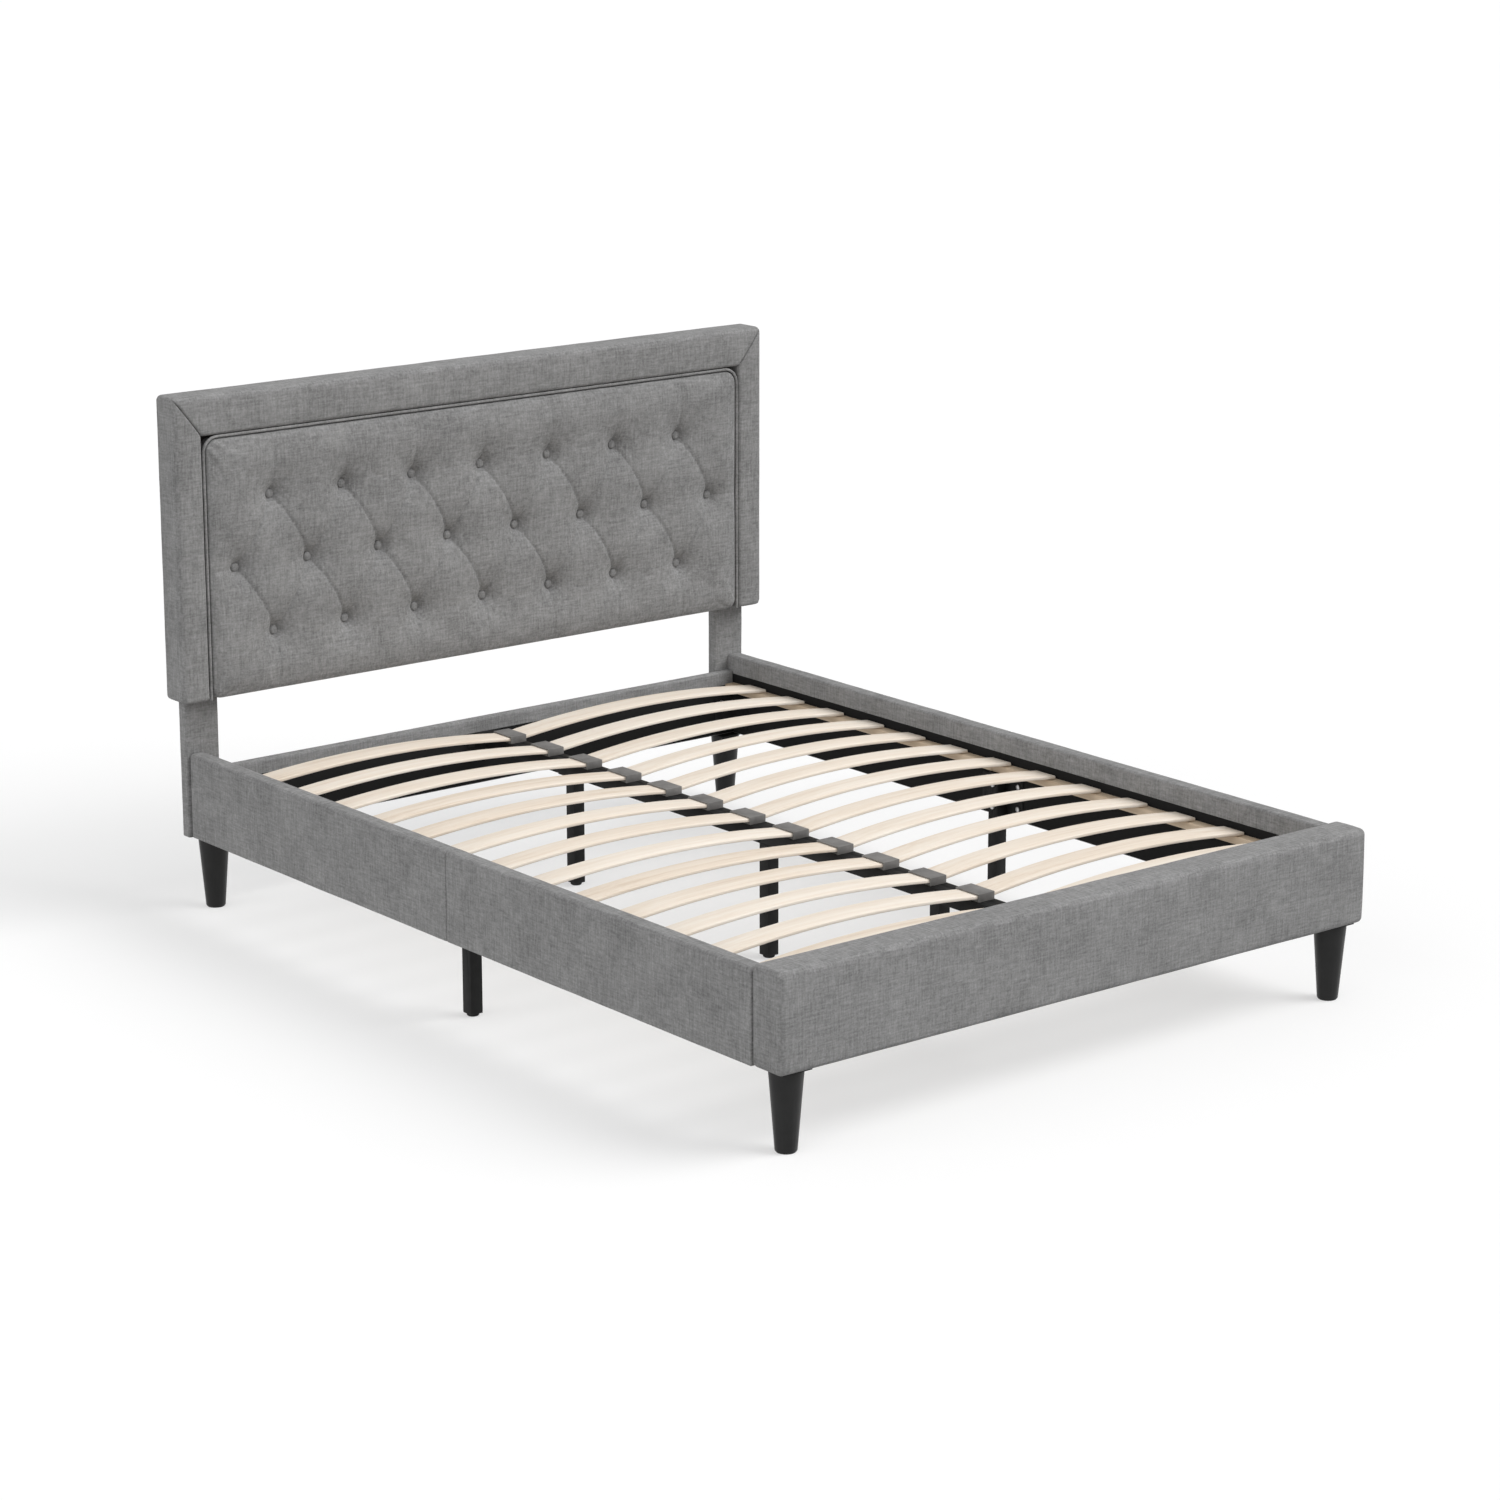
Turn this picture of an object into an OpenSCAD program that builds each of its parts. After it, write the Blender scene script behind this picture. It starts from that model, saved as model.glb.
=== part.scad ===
// Upholstered bed: a tufted headboard on two posts, padded rails and foot panel, bowed slats
// on a centre rail. Origin on the floor under the middle of the bed, +Y towards the headboard.

/* [Mattress] */
// Width of the mattress
mattress_w = 1524; // [900:1:1930]
// Length of the mattress
mattress_l = 2032; // [1690:1:2440]
// Room on each side of the mattress
mattress_side_gap = 8; // [4:1:20]
// Room at each end of the mattress
mattress_end_gap = 3; // [2:1:20]

/* [Side rails] */
// Height of the rails above the floor
floor_gap = 172; // [120:1:300]
// Height of a side rail
rail_h = 200; // [160:1:300]
// Thickness of a side rail with its padding
rail_t = 39; // [30:1:60]
// Foam and fabric on the outside of a rail
rail_pad = 11; // [4:1:15]
// Foam and fabric on the top of a rail
rail_top_pad = 8; // [4:1:15]
// Fabric turned down on the inside of a rail
rail_turn_down = 46; // [30:1:60]
// Thickness of a single layer of fabric or lining
skin_t = 2; // [1:0.5:3]
// Radius of the padded top edges
pad_r = 7; // [3:1:12]

/* [Foot panel] */
// Thickness of the foot panel
foot_t = 90; // [60:1:140]
// Height of the foot panel
foot_h = 210; // [180:1:320]
// How far the foot panel stands out past the rails
foot_proud = 1; // [0:1:10]
// Foam and fabric on the foot panel
foot_pad = 10; // [5:1:20]
// Thickness of the foot panel's boards
foot_board_t = 16; // [10:1:20]

/* [Head rail] */
// Thickness of the head rail
head_rail_t = 22; // [20:1:40]
// Height of the head rail
head_rail_h = 162; // [145:1:190]

/* [Headboard] */
// Thickness of the headboard
headboard_t = 72; // [64:1:100]
// Height of the headboard
headboard_h = 705; // [500:1:900]
// Height of the headboard's bottom edge above the floor
headboard_z = 500; // [420:1:600]
// How far the headboard stands out past each post
headboard_overhang = 28; // [22:1:80]
// Width of the padded border at the sides
border_side_w = 73; // [50:1:110]
// Height of the padded border along the top
border_top_h = 93; // [50:1:130]
// Foam and fabric wrapped round the headboard's edge
border_wrap = 10; // [5:1:15]
// Thickness of the plywood behind the padding
headboard_board_t = 12; // [6:1:18]
// Diameter of the welt cord round the tufted panel
welt_d = 7; // [5:0.5:10]
// Corner radius of the tufted panel
panel_r = 32; // [15:1:60]

/* [Tufting] */
// Buttons in the middle row
buttons_across = 8; // [4:1:12]
// Distance of an end button from the side of the panel
button_edge = 78; // [50:1:120]
// Spacing of the rows
button_row_pitch = 160; // [100:1:200]
// How far the middle row is below the middle of the panel
button_drop = 5; // [0:1:30]
// Diameter of a covered button
button_d = 22; // [14:1:32]
// Depth of the dimple at a button
dimple_depth = 22; // [10:1:26]

/* [Posts] */
// Width of a post
post_w = 88; // [60:1:120]
// Thickness of a post
post_t = 30; // [24:1:45]
// How far a post stands out past the side rail
post_proud = 8; // [0:1:20]

/* [Slats] */
// Rows of slats
slat_rows = 13; // [8:1:13]
// Width of a slat
slat_w = 66; // [40:1:80]
// Thickness of a slat
slat_t = 8; // [6:0.5:14]
// Rise of a slat in the middle
slat_bow = 25; // [10:1:40]
// Distance of the first and last rows from the ends of the space
slat_end_margin = 108; // [70:1:160]
// Width of the ledger strip
ledger_w = 28; // [20:1:45]
// Height of the ledger strip
ledger_h = 18; // [12:1:40]
// Depth of the slats' seat below the top of the rails
slat_seat_drop = 68; // [55:1:100]

/* [Centre rail] */
// Width of the centre rail
centre_w = 50; // [40:1:80]
// Height of the centre rail
centre_h = 30; // [20:1:50]
// Wall of the centre rail
centre_wall = 2; // [1.5:0.5:3]
// Length of the slat cap across the bed
cap_l = 44; // [36:1:70]
// Wall of a slat cap
cap_wall = 3; // [2:0.5:4]
// Depth of the pocket for a slat's end
cap_pocket = 16; // [10:1:20]

/* [Legs] */
// Diameter at the top of a corner leg
leg_top_d = 72; // [40:1:76]
// Diameter at the bottom of a corner leg
leg_foot_d = 45; // [25:1:60]
// Distance of a corner leg's centre from the inside of the side rail
leg_inset = 14; // [0:1:40]
// Width of a square support leg
tube_w = 30; // [25:1:40]
// Wall of a square support leg
tube_wall = 1.5; // [1:0.5:3]
// Distance of the outer centre legs from the ends of the space
centre_leg_end = 370; // [250:1:500]
// Diameter of a levelling glide
glide_d = 27; // [24:1:40]
// Height of a levelling glide's foot
glide_h = 5; // [5:1:12]
// Gap between the glide's foot and the plug above it
glide_gap = 1; // [1:1:12]

/* [Hidden] */
$fn = 64;

// Named clearances and small sizes
seam_gap = 0.6;
lining_gap = 0.3;
head_rail_gap = 1.2;
slat_gap = 1;
slat_end_gap = 8;
cap_gap = 0.4;
pocket_tilt = 2.6;
ledger_end_gap = 2;
bracket_t = 3;
plate_t = 3;
bracket_l = 60;
bolt_d = 6;
bolt_head_d = 12;
bolt_head_h = 4;
bed_bolt_d = 8;
bed_bolt_head_d = 16;
bed_bolt_l = 80;
bed_bolt_low = 58;
bed_bolt_spacing = 80;
bolt_play = 0.4;
stem_d = 8;
stem_l = 52;
stem_play = 0.08;
plug_flange = 3;
plug_l = 20;
plug_play = 0.3;
leg_pad_t = 2;
screw_d = 4;
screw_head_d = 9;
screw_head_h = 2;
seat_flat = 0.6;

// Lengthways
inner_w = mattress_w + 2 * mattress_side_gap;
inner_l = mattress_l + 2 * mattress_end_gap;
total_l = foot_t + inner_l + head_rail_t + post_t;
foot_y = -total_l / 2;
inner_foot_y = foot_y + foot_t;
head_rail_y = inner_foot_y + inner_l;
lining_y = head_rail_y + skin_t;
post_y = head_rail_y + head_rail_t;
back_y = post_y + post_t;
headboard_y = back_y - headboard_t;
rail_seam_y = (inner_foot_y + post_y) / 2;
inner_mid_y = (inner_foot_y + head_rail_y) / 2;

// Across
rail_in = inner_w / 2;
rail_out = rail_in + rail_t;
foot_x = rail_out + foot_proud;
post_out = rail_out + post_proud;
post_in = post_out - post_w;
board_in = rail_in + skin_t;
board_out = rail_out - rail_pad;
headboard_x = post_out + headboard_overhang;
frame_x = headboard_x - border_wrap;

// Heights
rail_z = floor_gap;
rail_top = rail_z + rail_h;
foot_top = rail_z + foot_h;
head_rail_top = rail_z + head_rail_h;
seat_z = rail_top - slat_seat_drop;
ledger_z = seat_z - ledger_h;
cap_floor = 4;
centre_top = seat_z - cap_floor;
centre_z = centre_top - centre_h;
headboard_top = headboard_z + headboard_h;
frame_top = headboard_top - border_wrap;

// Headboard layers, from the back
back_frame_y = back_y - skin_t;
board_back_y = post_y + skin_t;
board_front_y = board_back_y - headboard_board_t;
top_rail_h = 60;
inner_rail_h = 60;

// Tufted panel
panel_x = headboard_x - border_side_w - welt_d - 1;
panel_top = headboard_top - border_top_h - welt_d - 1;
welt_x = panel_x + welt_d / 2 + 0.5;
welt_z = panel_top + welt_d / 2 + 0.5;
welt_y = headboard_y + welt_d / 2 + 0.5;
welt_r = panel_r + (welt_x - panel_x);
dimple_r = 40;
button_pitch = 2 * (panel_x - button_edge) / (buttons_across - 1);
button_mid_z = (headboard_z + panel_top) / 2 - button_drop;

// Slats
slat_pitch = (inner_l - 2 * slat_end_margin) / (slat_rows - 1);
slat_in = cap_l / 2 - cap_pocket + slat_gap;
slat_out = rail_in - slat_end_gap;
slat_chord = (slat_out - slat_in) / 2;
slat_mid = (slat_out + slat_in) / 2;
slat_r = (slat_chord * slat_chord + slat_bow * slat_bow) / (2 * slat_bow);
slat_axis_z = seat_z - seat_flat + slat_bow - slat_r;
cap_w = slat_w + 2 * cap_gap + 2 * cap_wall;
cap_slot_h = slat_t + pocket_tilt;
cap_h = cap_floor + cap_slot_h + cap_wall;
cap_peg_d = 8;
centre_split_y = slat_y(floor(slat_rows / 2)) - slat_pitch / 2;
centre_leg_ys = [head_rail_y - centre_leg_end, centre_split_y, inner_foot_y + centre_leg_end];

// Brackets and plates between the rails' bottom edge and the ledger
bracket_low = 18;
bracket_drop = 16;
bolt_margin = 13;
bracket_z = rail_z + bracket_low;
bracket_h = ledger_z - bracket_drop - bracket_z;
bolt_zs = [bracket_z + bolt_margin, bracket_z + bracket_h - bolt_margin];
joint_plate_l = 140;
joint_bolt_y = 55;
centre_bolt_y = tube_w / 2 + 7;

// Legs
leg_top_z = floor_gap - plate_t;
leg_x = rail_in - leg_inset;
front_leg_y = foot_y + foot_t / 2 + 2;
rear_leg_y = back_y - leg_top_d / 2;
leg_places = [[-leg_x, front_leg_y], [leg_x, front_leg_y], [-leg_x, rear_leg_y], [leg_x, rear_leg_y]];
flange_z = glide_h + glide_gap;
tube_z = flange_z + plug_flange;
side_leg_x = rail_in - plate_t - tube_w / 2;
leg_plate_h = 2;

function slat_y(row) = head_rail_y - slat_end_margin - row * slat_pitch;
function two(n) = n < 10 ? str("0", n) : str(n);
function slat_name(row) = str("slat_pair_", two(row + 1));
function arc(cx, cy, r, from, to) =
    [for (i = [0:6]) [cx + r * cos(from + (to - from) * i / 6), cy + r * sin(from + (to - from) * i / 6)]];

fabric = [0.47, 0.47, 0.48];
black_steel = [0.09, 0.09, 0.1];
birch = [0.88, 0.8, 0.7];
pine = [0.8, 0.68, 0.5];

// Boxes given by their low and high corners
module span(a, b) {
    translate(a) cube(b - a);
}

// The same piece on the left and the right
module both_sides() {
    children();
    mirror([1, 0, 0]) children();
}

// A flat outline across the bed (X, Z) drawn out along Y
module along_y(y0, y1) {
    translate([0, y1, 0]) rotate([90, 0, 0]) linear_extrude(y1 - y0) children();
}

// A flat outline lengthways (Y, Z) drawn out along X
module along_x(x0, x1) {
    translate([x0, 0, 0]) rotate([90, 0, 90]) linear_extrude(x1 - x0) children();
}

module cylinder_y(d, y0, y1) {
    translate([0, y1, 0]) rotate([90, 0, 0]) cylinder(d = d, h = y1 - y0);
}

module cylinder_x(d, x0, x1) {
    translate([x0, 0, 0]) rotate([0, 90, 0]) cylinder(d = d, h = x1 - x0);
}

// Headboard

// The top, middle and bottom rails and the strips beside the posts
module headboard_rails() {
    color(pine) {
        span([-frame_x, board_back_y, frame_top - top_rail_h], [frame_x, back_frame_y, frame_top]);
        for (z = [headboard_z + skin_t, headboard_z + headboard_h / 2])
            span([-post_in - skin_t, board_back_y, z], [post_in + skin_t, back_frame_y, z + inner_rail_h]);
        both_sides()
            span([post_out - skin_t, board_back_y, headboard_z + skin_t],
                 [frame_x, back_frame_y, frame_top - top_rail_h]);
    }
}

module headboard_board() {
    color(pine)
        span([-frame_x, board_front_y, headboard_z + skin_t], [frame_x, board_back_y, frame_top]);
}

// Dust cover over the back and under the bottom edge, with openings for the posts
module headboard_back_cover() {
    color([0.42, 0.42, 0.43]) difference() {
        union() {
            span([-frame_x, back_frame_y, headboard_z], [frame_x, back_y, frame_top]);
            span([-frame_x, board_front_y, headboard_z], [frame_x, back_y, headboard_z + skin_t]);
        }
        both_sides()
            span([post_in, post_y, headboard_z - 1], [post_out, back_frame_y, headboard_z + skin_t + 1]);
    }
}

// Section of the border: foam in front of the board, and the fabric wrapped round its edge.
// It is drawn with the outer edge at u = 0 and the front of the headboard at v = 0.
module border_section(w) {
    polygon(concat(
        arc(border_wrap, border_wrap, border_wrap, 180, 270),
        [[w, 0], [w, board_front_y - headboard_y], [border_wrap, board_front_y - headboard_y],
         [border_wrap, headboard_t], [0, headboard_t]]));
}

// Area of the left border seen from the front, cut off along the mitre
module side_border_area() {
    polygon([[-headboard_x, headboard_z], [-headboard_x, headboard_top - seam_gap],
             [-headboard_x + border_side_w, headboard_top - border_top_h - seam_gap],
             [-headboard_x + border_side_w, headboard_z]]);
}

module border_left() {
    color(fabric) intersection() {
        translate([-headboard_x, headboard_y, 0])
            linear_extrude(headboard_top) border_section(border_side_w);
        along_y(headboard_y, back_y) side_border_area();
    }
}

module border_right() {
    mirror([1, 0, 0]) border_left();
}

module border_top() {
    x = headboard_x;
    color(fabric) intersection() {
        translate([-x, headboard_y, headboard_top]) rotate([0, 90, 0])
            linear_extrude(2 * x) border_section(border_top_h);
        along_y(headboard_y, back_y)
            polygon([[-x, headboard_top], [x, headboard_top],
                     [x - border_side_w, headboard_top - border_top_h],
                     [-x + border_side_w, headboard_top - border_top_h]]);
    }
}

module panel_outline() {
    polygon(concat(
        [[-panel_x, headboard_z], [panel_x, headboard_z]],
        arc(panel_x - panel_r, panel_top - panel_r, panel_r, 0, 90),
        arc(-panel_x + panel_r, panel_top - panel_r, panel_r, 90, 180)));
}

// Places the child at every button: a full row between two rows that are one shorter
module at_buttons() {
    for (row = [-1:1]) {
        count = row == 0 ? buttons_across : buttons_across - 1;
        for (i = [0:count - 1])
            translate([(i - (count - 1) / 2) * button_pitch, 0, button_mid_z + row * button_row_pitch])
                children();
    }
}

module tufted_panel() {
    color(fabric) difference() {
        along_y(headboard_y, board_front_y) panel_outline();
        at_buttons() translate([0, headboard_y - dimple_r + dimple_depth, 0]) sphere(dimple_r);
    }
}

module welt_corner() {
    translate([welt_x - welt_r, welt_y, welt_z - welt_r]) rotate([90, 0, 0])
        rotate_extrude(angle = 90) translate([welt_r, 0]) circle(d = welt_d);
}

module welt_cord() {
    color(fabric) {
        translate([0, welt_y, welt_z]) cylinder_x(welt_d, -welt_x + welt_r, welt_x - welt_r);
        both_sides() {
            welt_corner();
            translate([welt_x, welt_y, headboard_z])
                cylinder(d = welt_d, h = welt_z - welt_r - headboard_z);
        }
    }
}

// A domed covered button on a shank that goes through the padding and the board
module tuft_button() {
    bottom = headboard_y + dimple_depth;
    shank_l = board_back_y - bottom - 2;
    r = button_d / 2;
    edge_h = 4;
    rise = 3;
    dome = [for (a = [0:15:90]) [r * cos(a), edge_h + rise * sin(a)]];
    translate([0, bottom, 0]) rotate([90, 0, 0]) rotate_extrude()
        polygon(concat([[0, -shank_l], [screw_d / 2, -shank_l], [screw_d / 2, 0], [r, 0]], dome));
}

module tuft_buttons() {
    color(fabric) at_buttons() tuft_button();
}

// Posts

// The bolts that hold the side rails' boards to the posts, or with play, their holes
module bed_bolts(play = 0) {
    x = (board_in + board_out) / 2;
    for (i = [0, 1])
        translate([x, 0, rail_z + bed_bolt_low + i * bed_bolt_spacing]) {
            cylinder_y(bed_bolt_d + play, back_y - bed_bolt_l - play, back_y + play);
            cylinder_y(bed_bolt_head_d + play, back_y - 5 - play, back_y + play);
        }
}

module post_right() {
    color(pine) difference() {
        span([post_in + skin_t, board_back_y, rail_z + skin_t],
             [post_out - skin_t, back_frame_y, frame_top - top_rail_h]);
        bed_bolts(bolt_play);
    }
}

module post_left() {
    mirror([1, 0, 0]) post_right();
}

module post_covers() {
    color(fabric) both_sides() difference() {
        span([post_in, post_y, rail_z], [post_out, back_y, headboard_z]);
        span([post_in + skin_t, board_back_y, rail_z + skin_t],
             [post_out - skin_t, back_frame_y, headboard_z + 1]);
        bed_bolts(bolt_play);
    }
}

// Head rail

module head_rail_board() {
    x = rail_in - head_rail_gap - skin_t;
    color(pine)
        span([-x, head_rail_y + 2 * skin_t, rail_z + skin_t],
             [x, post_y - skin_t, head_rail_top - 3 * skin_t]);
}

// The front is turned down to the top of the centre rail, and the lining starts there
module head_rail_cover() {
    x = rail_in - head_rail_gap;
    color(fabric) difference() {
        span([-x, head_rail_y, rail_z], [x, post_y, head_rail_top]);
        span([-x + skin_t, head_rail_y + 2 * skin_t, rail_z + skin_t],
             [x - skin_t, post_y - skin_t, head_rail_top - 3 * skin_t]);
        span([-x - 1, head_rail_y - 1, rail_z - 1], [x + 1, head_rail_y + 2 * skin_t, centre_top]);
    }
}

// Side rails

// The two boards of one side meet at the seam
module side_boards_right() {
    color(pine) difference() {
        for (ends = [[inner_foot_y, rail_seam_y - seam_gap / 2], [rail_seam_y + seam_gap / 2, post_y]])
            span([board_in, ends[0], rail_z + skin_t], [board_out, ends[1], rail_top - rail_top_pad]);
        bed_bolts(bolt_play);
    }
}

module side_boards_left() {
    mirror([1, 0, 0]) side_boards_right();
}

// Section of a side rail's cover: outside, over the top, turned down inside, and under
module side_cover_section() {
    polygon(concat(
        [[rail_out, rail_z]],
        arc(rail_out - pad_r, rail_top - pad_r, pad_r, 0, 90),
        arc(rail_in + pad_r, rail_top - pad_r, pad_r, 90, 180),
        [[rail_in, rail_top - rail_turn_down], [board_in, rail_top - rail_turn_down],
         [board_in, rail_top - rail_top_pad], [board_out, rail_top - rail_top_pad],
         [board_out, rail_z + skin_t], [board_in, rail_z + skin_t], [board_in, rail_z]]));
}

module side_cover(y0, y1) {
    color(fabric) along_y(y0, y1) side_cover_section();
}

module side_cover_right_foot() {
    side_cover(inner_foot_y, rail_seam_y - seam_gap / 2);
}

module side_cover_right_head() {
    side_cover(rail_seam_y + seam_gap / 2, post_y);
}

module side_cover_left_foot() {
    mirror([1, 0, 0]) side_cover_right_foot();
}

module side_cover_left_head() {
    mirror([1, 0, 0]) side_cover_right_head();
}

// Black lining on the inside of the side rails and on the front of the head rail
module rail_linings() {
    x = rail_in - head_rail_gap - skin_t;
    color(black_steel) {
        both_sides()
            for (ends = [[inner_foot_y, rail_seam_y - seam_gap / 2], [rail_seam_y + seam_gap / 2, post_y]])
                span([rail_in, ends[0], rail_z + skin_t],
                     [board_in, ends[1], rail_top - rail_turn_down - lining_gap]);
        span([-x, lining_y, rail_z + skin_t], [x, lining_y + skin_t, centre_top - lining_gap]);
    }
}

// Foot panel

module foot_boards() {
    x = foot_x - foot_pad;
    front_y = foot_y + foot_pad;
    rear_y = inner_foot_y - skin_t;
    color(pine)
        for (y = [front_y, rear_y - foot_board_t])
            span([-x, y, rail_z + skin_t], [x, y + foot_board_t, foot_top - foot_pad]);
}

// Strips between the boards, and the end blocks that the legs are bolted to
module foot_blocks() {
    x = foot_x - foot_pad;
    block_l = 60;
    strip_t = 18;
    y0 = foot_y + foot_pad + foot_board_t;
    y1 = inner_foot_y - skin_t - foot_board_t;
    z0 = rail_z + skin_t;
    z1 = foot_top - foot_pad;
    color(pine) {
        both_sides() span([x - block_l, y0, z0], [x, y1, z1]);
        span([-x + block_l, y0, z0], [x - block_l, y1, z0 + strip_t]);
        span([-x + block_l, y0, z1 - strip_t], [x - block_l, y1, z1]);
    }
}

module foot_cover() {
    r = 2 * pad_r;
    color(fabric) difference() {
        translate([0, 0, rail_z]) linear_extrude(foot_h)
            polygon(concat(
                arc(-foot_x + r, foot_y + r, r, 180, 270), arc(foot_x - r, foot_y + r, r, 270, 360),
                [[foot_x, inner_foot_y], [-foot_x, inner_foot_y]]));
        span([-foot_x + foot_pad, foot_y + foot_pad, rail_z + skin_t],
             [foot_x - foot_pad, inner_foot_y - skin_t, foot_top - foot_pad]);
    }
}

// Ledgers

module ledger_right() {
    color(birch)
        for (ends = [[inner_foot_y + ledger_end_gap, rail_seam_y - seam_gap],
                     [rail_seam_y + seam_gap, head_rail_y - ledger_end_gap]])
            span([rail_in - ledger_w, ends[0], ledger_z], [rail_in, ends[1], seat_z]);
}

module ledger_left() {
    mirror([1, 0, 0]) ledger_right();
}

// Wood screws through the ledgers into the side boards, between the rows of slats
module ledger_screws() {
    x = rail_in - ledger_w;
    color("silver") both_sides()
        for (row = [0:2:slat_rows - 2])
            translate([0, slat_y(row) - slat_pitch / 2, ledger_z + ledger_h / 2]) {
                cylinder_x(screw_head_d, x - screw_head_h, x);
                cylinder_x(screw_d, x, board_in + 16);
            }
}

// Centre rail

module centre_section(w, h, wall) {
    difference() {
        square([w, h], center = true);
        square([w - 2 * wall, h - 2 * wall], center = true);
    }
}

// The holes in the rail's top for the slat caps and in its bottom for the legs' bolts
module centre_holes() {
    for (row = [0:slat_rows - 1])
        translate([0, slat_y(row), centre_top - centre_wall - 1])
            cylinder(d = cap_peg_d + bolt_play, h = centre_wall + 2);
    for (y = centre_leg_ys, side = [-1, 1])
        translate([0, y + side * centre_bolt_y, centre_z - 1])
            cylinder(d = bolt_d + bolt_play, h = centre_wall + 2);
}

module centre_rail(y0, y1) {
    color(black_steel) difference() {
        translate([0, 0, centre_z + centre_h / 2])
            along_y(y0, y1) centre_section(centre_w, centre_h, centre_wall);
        centre_holes();
    }
}

module centre_rail_foot() {
    centre_rail(inner_foot_y + bracket_t, centre_split_y - seam_gap / 2);
}

module centre_rail_head() {
    centre_rail(centre_split_y + seam_gap / 2, lining_y - bracket_t);
}

// The tube inside the centre rail that joins its two halves
module centre_sleeve() {
    wall = centre_wall;
    play = 0.2;
    sleeve_l = 200;
    color(black_steel) difference() {
        translate([0, 0, centre_z + centre_h / 2])
            along_y(centre_split_y - sleeve_l / 2, centre_split_y + sleeve_l / 2)
                centre_section(centre_w - 2 * wall - 2 * play, centre_h - 2 * wall - 2 * play, wall);
        for (side = [-1, 1])
            translate([0, centre_split_y + side * centre_bolt_y, centre_z])
                cylinder(d = bolt_d + bolt_play, h = centre_h / 2);
    }
}

// A plate with a saddle at each end of the centre rail
module centre_bracket() {
    t = bracket_t;
    play = 0.2;
    x = centre_w / 2 + play;
    saddle_l = 45;
    span([-x - 22, 0, centre_z - t], [x + 22, t, centre_top]);
    difference() {
        span([-x - t, t, centre_z - t], [x + t, saddle_l, centre_top - 6]);
        span([-x, 0, centre_z - play], [x, saddle_l + 1, centre_top]);
    }
}

// The head bracket's plate lies on the head rail's lining
module centre_brackets() {
    color(black_steel) {
        translate([0, inner_foot_y, 0]) centre_bracket();
        translate([0, lining_y, 0]) mirror([0, 1, 0]) centre_bracket();
    }
}

// A double plastic cap with a pocket on each side for the slats' ends
module slat_cap() {
    difference() {
        span([-cap_l / 2, -cap_w / 2, centre_top], [cap_l / 2, cap_w / 2, centre_top + cap_h]);
        both_sides()
            span([cap_l / 2 - cap_pocket, -slat_w / 2 - cap_gap, seat_z],
                 [cap_l / 2 + 1, slat_w / 2 + cap_gap, seat_z + cap_slot_h]);
    }
    translate([0, 0, centre_top - centre_wall]) cylinder(d = cap_peg_d, h = centre_wall + 1);
}

module slat_caps() {
    color([0.35, 0.36, 0.38])
        for (row = [0:slat_rows - 1])
            translate([0, slat_y(row), 0]) slat_cap();
}

// A bowed slat: a slice of a bent sheet, flat where it bears at its ends
module slat_right() {
    intersection() {
        span([slat_in, -slat_w / 2, seat_z], [slat_out, slat_w / 2, seat_z + slat_bow + 2 * slat_t]);
        translate([slat_mid, 0, slat_axis_z]) difference() {
            cylinder_y_fine(slat_r + slat_t);
            cylinder_y_fine(slat_r);
        }
    }
}

module cylinder_y_fine(r) {
    translate([0, slat_w, 0]) rotate([90, 0, 0]) cylinder(r = r, h = 2 * slat_w, $fn = 720);
}

module slat_pair(row) {
    color(birch) translate([0, slat_y(row), 0]) both_sides() slat_right();
}

// Support legs

module tube_leg(z1) {
    translate([0, 0, tube_z]) linear_extrude(z1 - tube_z) centre_section(tube_w, tube_w, tube_wall);
}

// Three legs under the centre rail, each with a top plate
module centre_legs() {
    plate_y = centre_bolt_y + 10;
    plate_z = centre_z - leg_plate_h;
    color(black_steel)
        for (y = centre_leg_ys) translate([0, y, 0]) difference() {
            union() {
                tube_leg(plate_z);
                span([-centre_w / 2, -plate_y, plate_z], [centre_w / 2, plate_y, centre_z]);
            }
            for (side = [-1, 1])
                translate([0, side * centre_bolt_y, plate_z - 1])
                    cylinder(d = bolt_d + bolt_play, h = leg_plate_h + 2);
        }
}

// One leg on the inside of each side rail, at the middle
module side_legs() {
    color(black_steel) both_sides() difference() {
        translate([side_leg_x, inner_mid_y, 0]) tube_leg(ledger_z);
        for (z = bolt_zs)
            translate([0, inner_mid_y, z]) cylinder_x(bolt_d + bolt_play, side_leg_x - tube_w, rail_in);
    }
}

// Place of each support leg: the three centre legs, then the left and right side legs
tube_places = concat([for (y = centre_leg_ys) [0, y]],
                     [[-side_leg_x, inner_mid_y], [side_leg_x, inner_mid_y]]);

module leg_plug() {
    inner = tube_w - 2 * tube_wall - plug_play;
    difference() {
        union() {
            translate([-tube_w / 2, -tube_w / 2, flange_z]) cube([tube_w, tube_w, plug_flange]);
            translate([-inner / 2, -inner / 2, tube_z]) cube([inner, inner, plug_l]);
        }
        translate([0, 0, flange_z - 1]) cylinder(d = stem_d + 2 * stem_play, h = plug_l + plug_flange + 2);
    }
}

module leg_plugs() {
    color([0.12, 0.12, 0.12])
        for (place = tube_places) translate([place[0], place[1], 0]) leg_plug();
}

// A screwed levelling foot under a support leg
module glide(place) {
    edge = 2;
    color([0.14, 0.14, 0.14]) translate([place[0], place[1], 0]) {
        cylinder(d1 = glide_d - 2 * edge, d2 = glide_d, h = edge);
        translate([0, 0, edge]) cylinder(d = glide_d, h = glide_h - edge);
        translate([0, 0, glide_h]) cylinder(d = stem_d, h = stem_l);
    }
}

module centre_glide_head() {
    glide(tube_places[0]);
}

module centre_glide_mid() {
    glide(tube_places[1]);
}

module centre_glide_foot() {
    glide(tube_places[2]);
}

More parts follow.
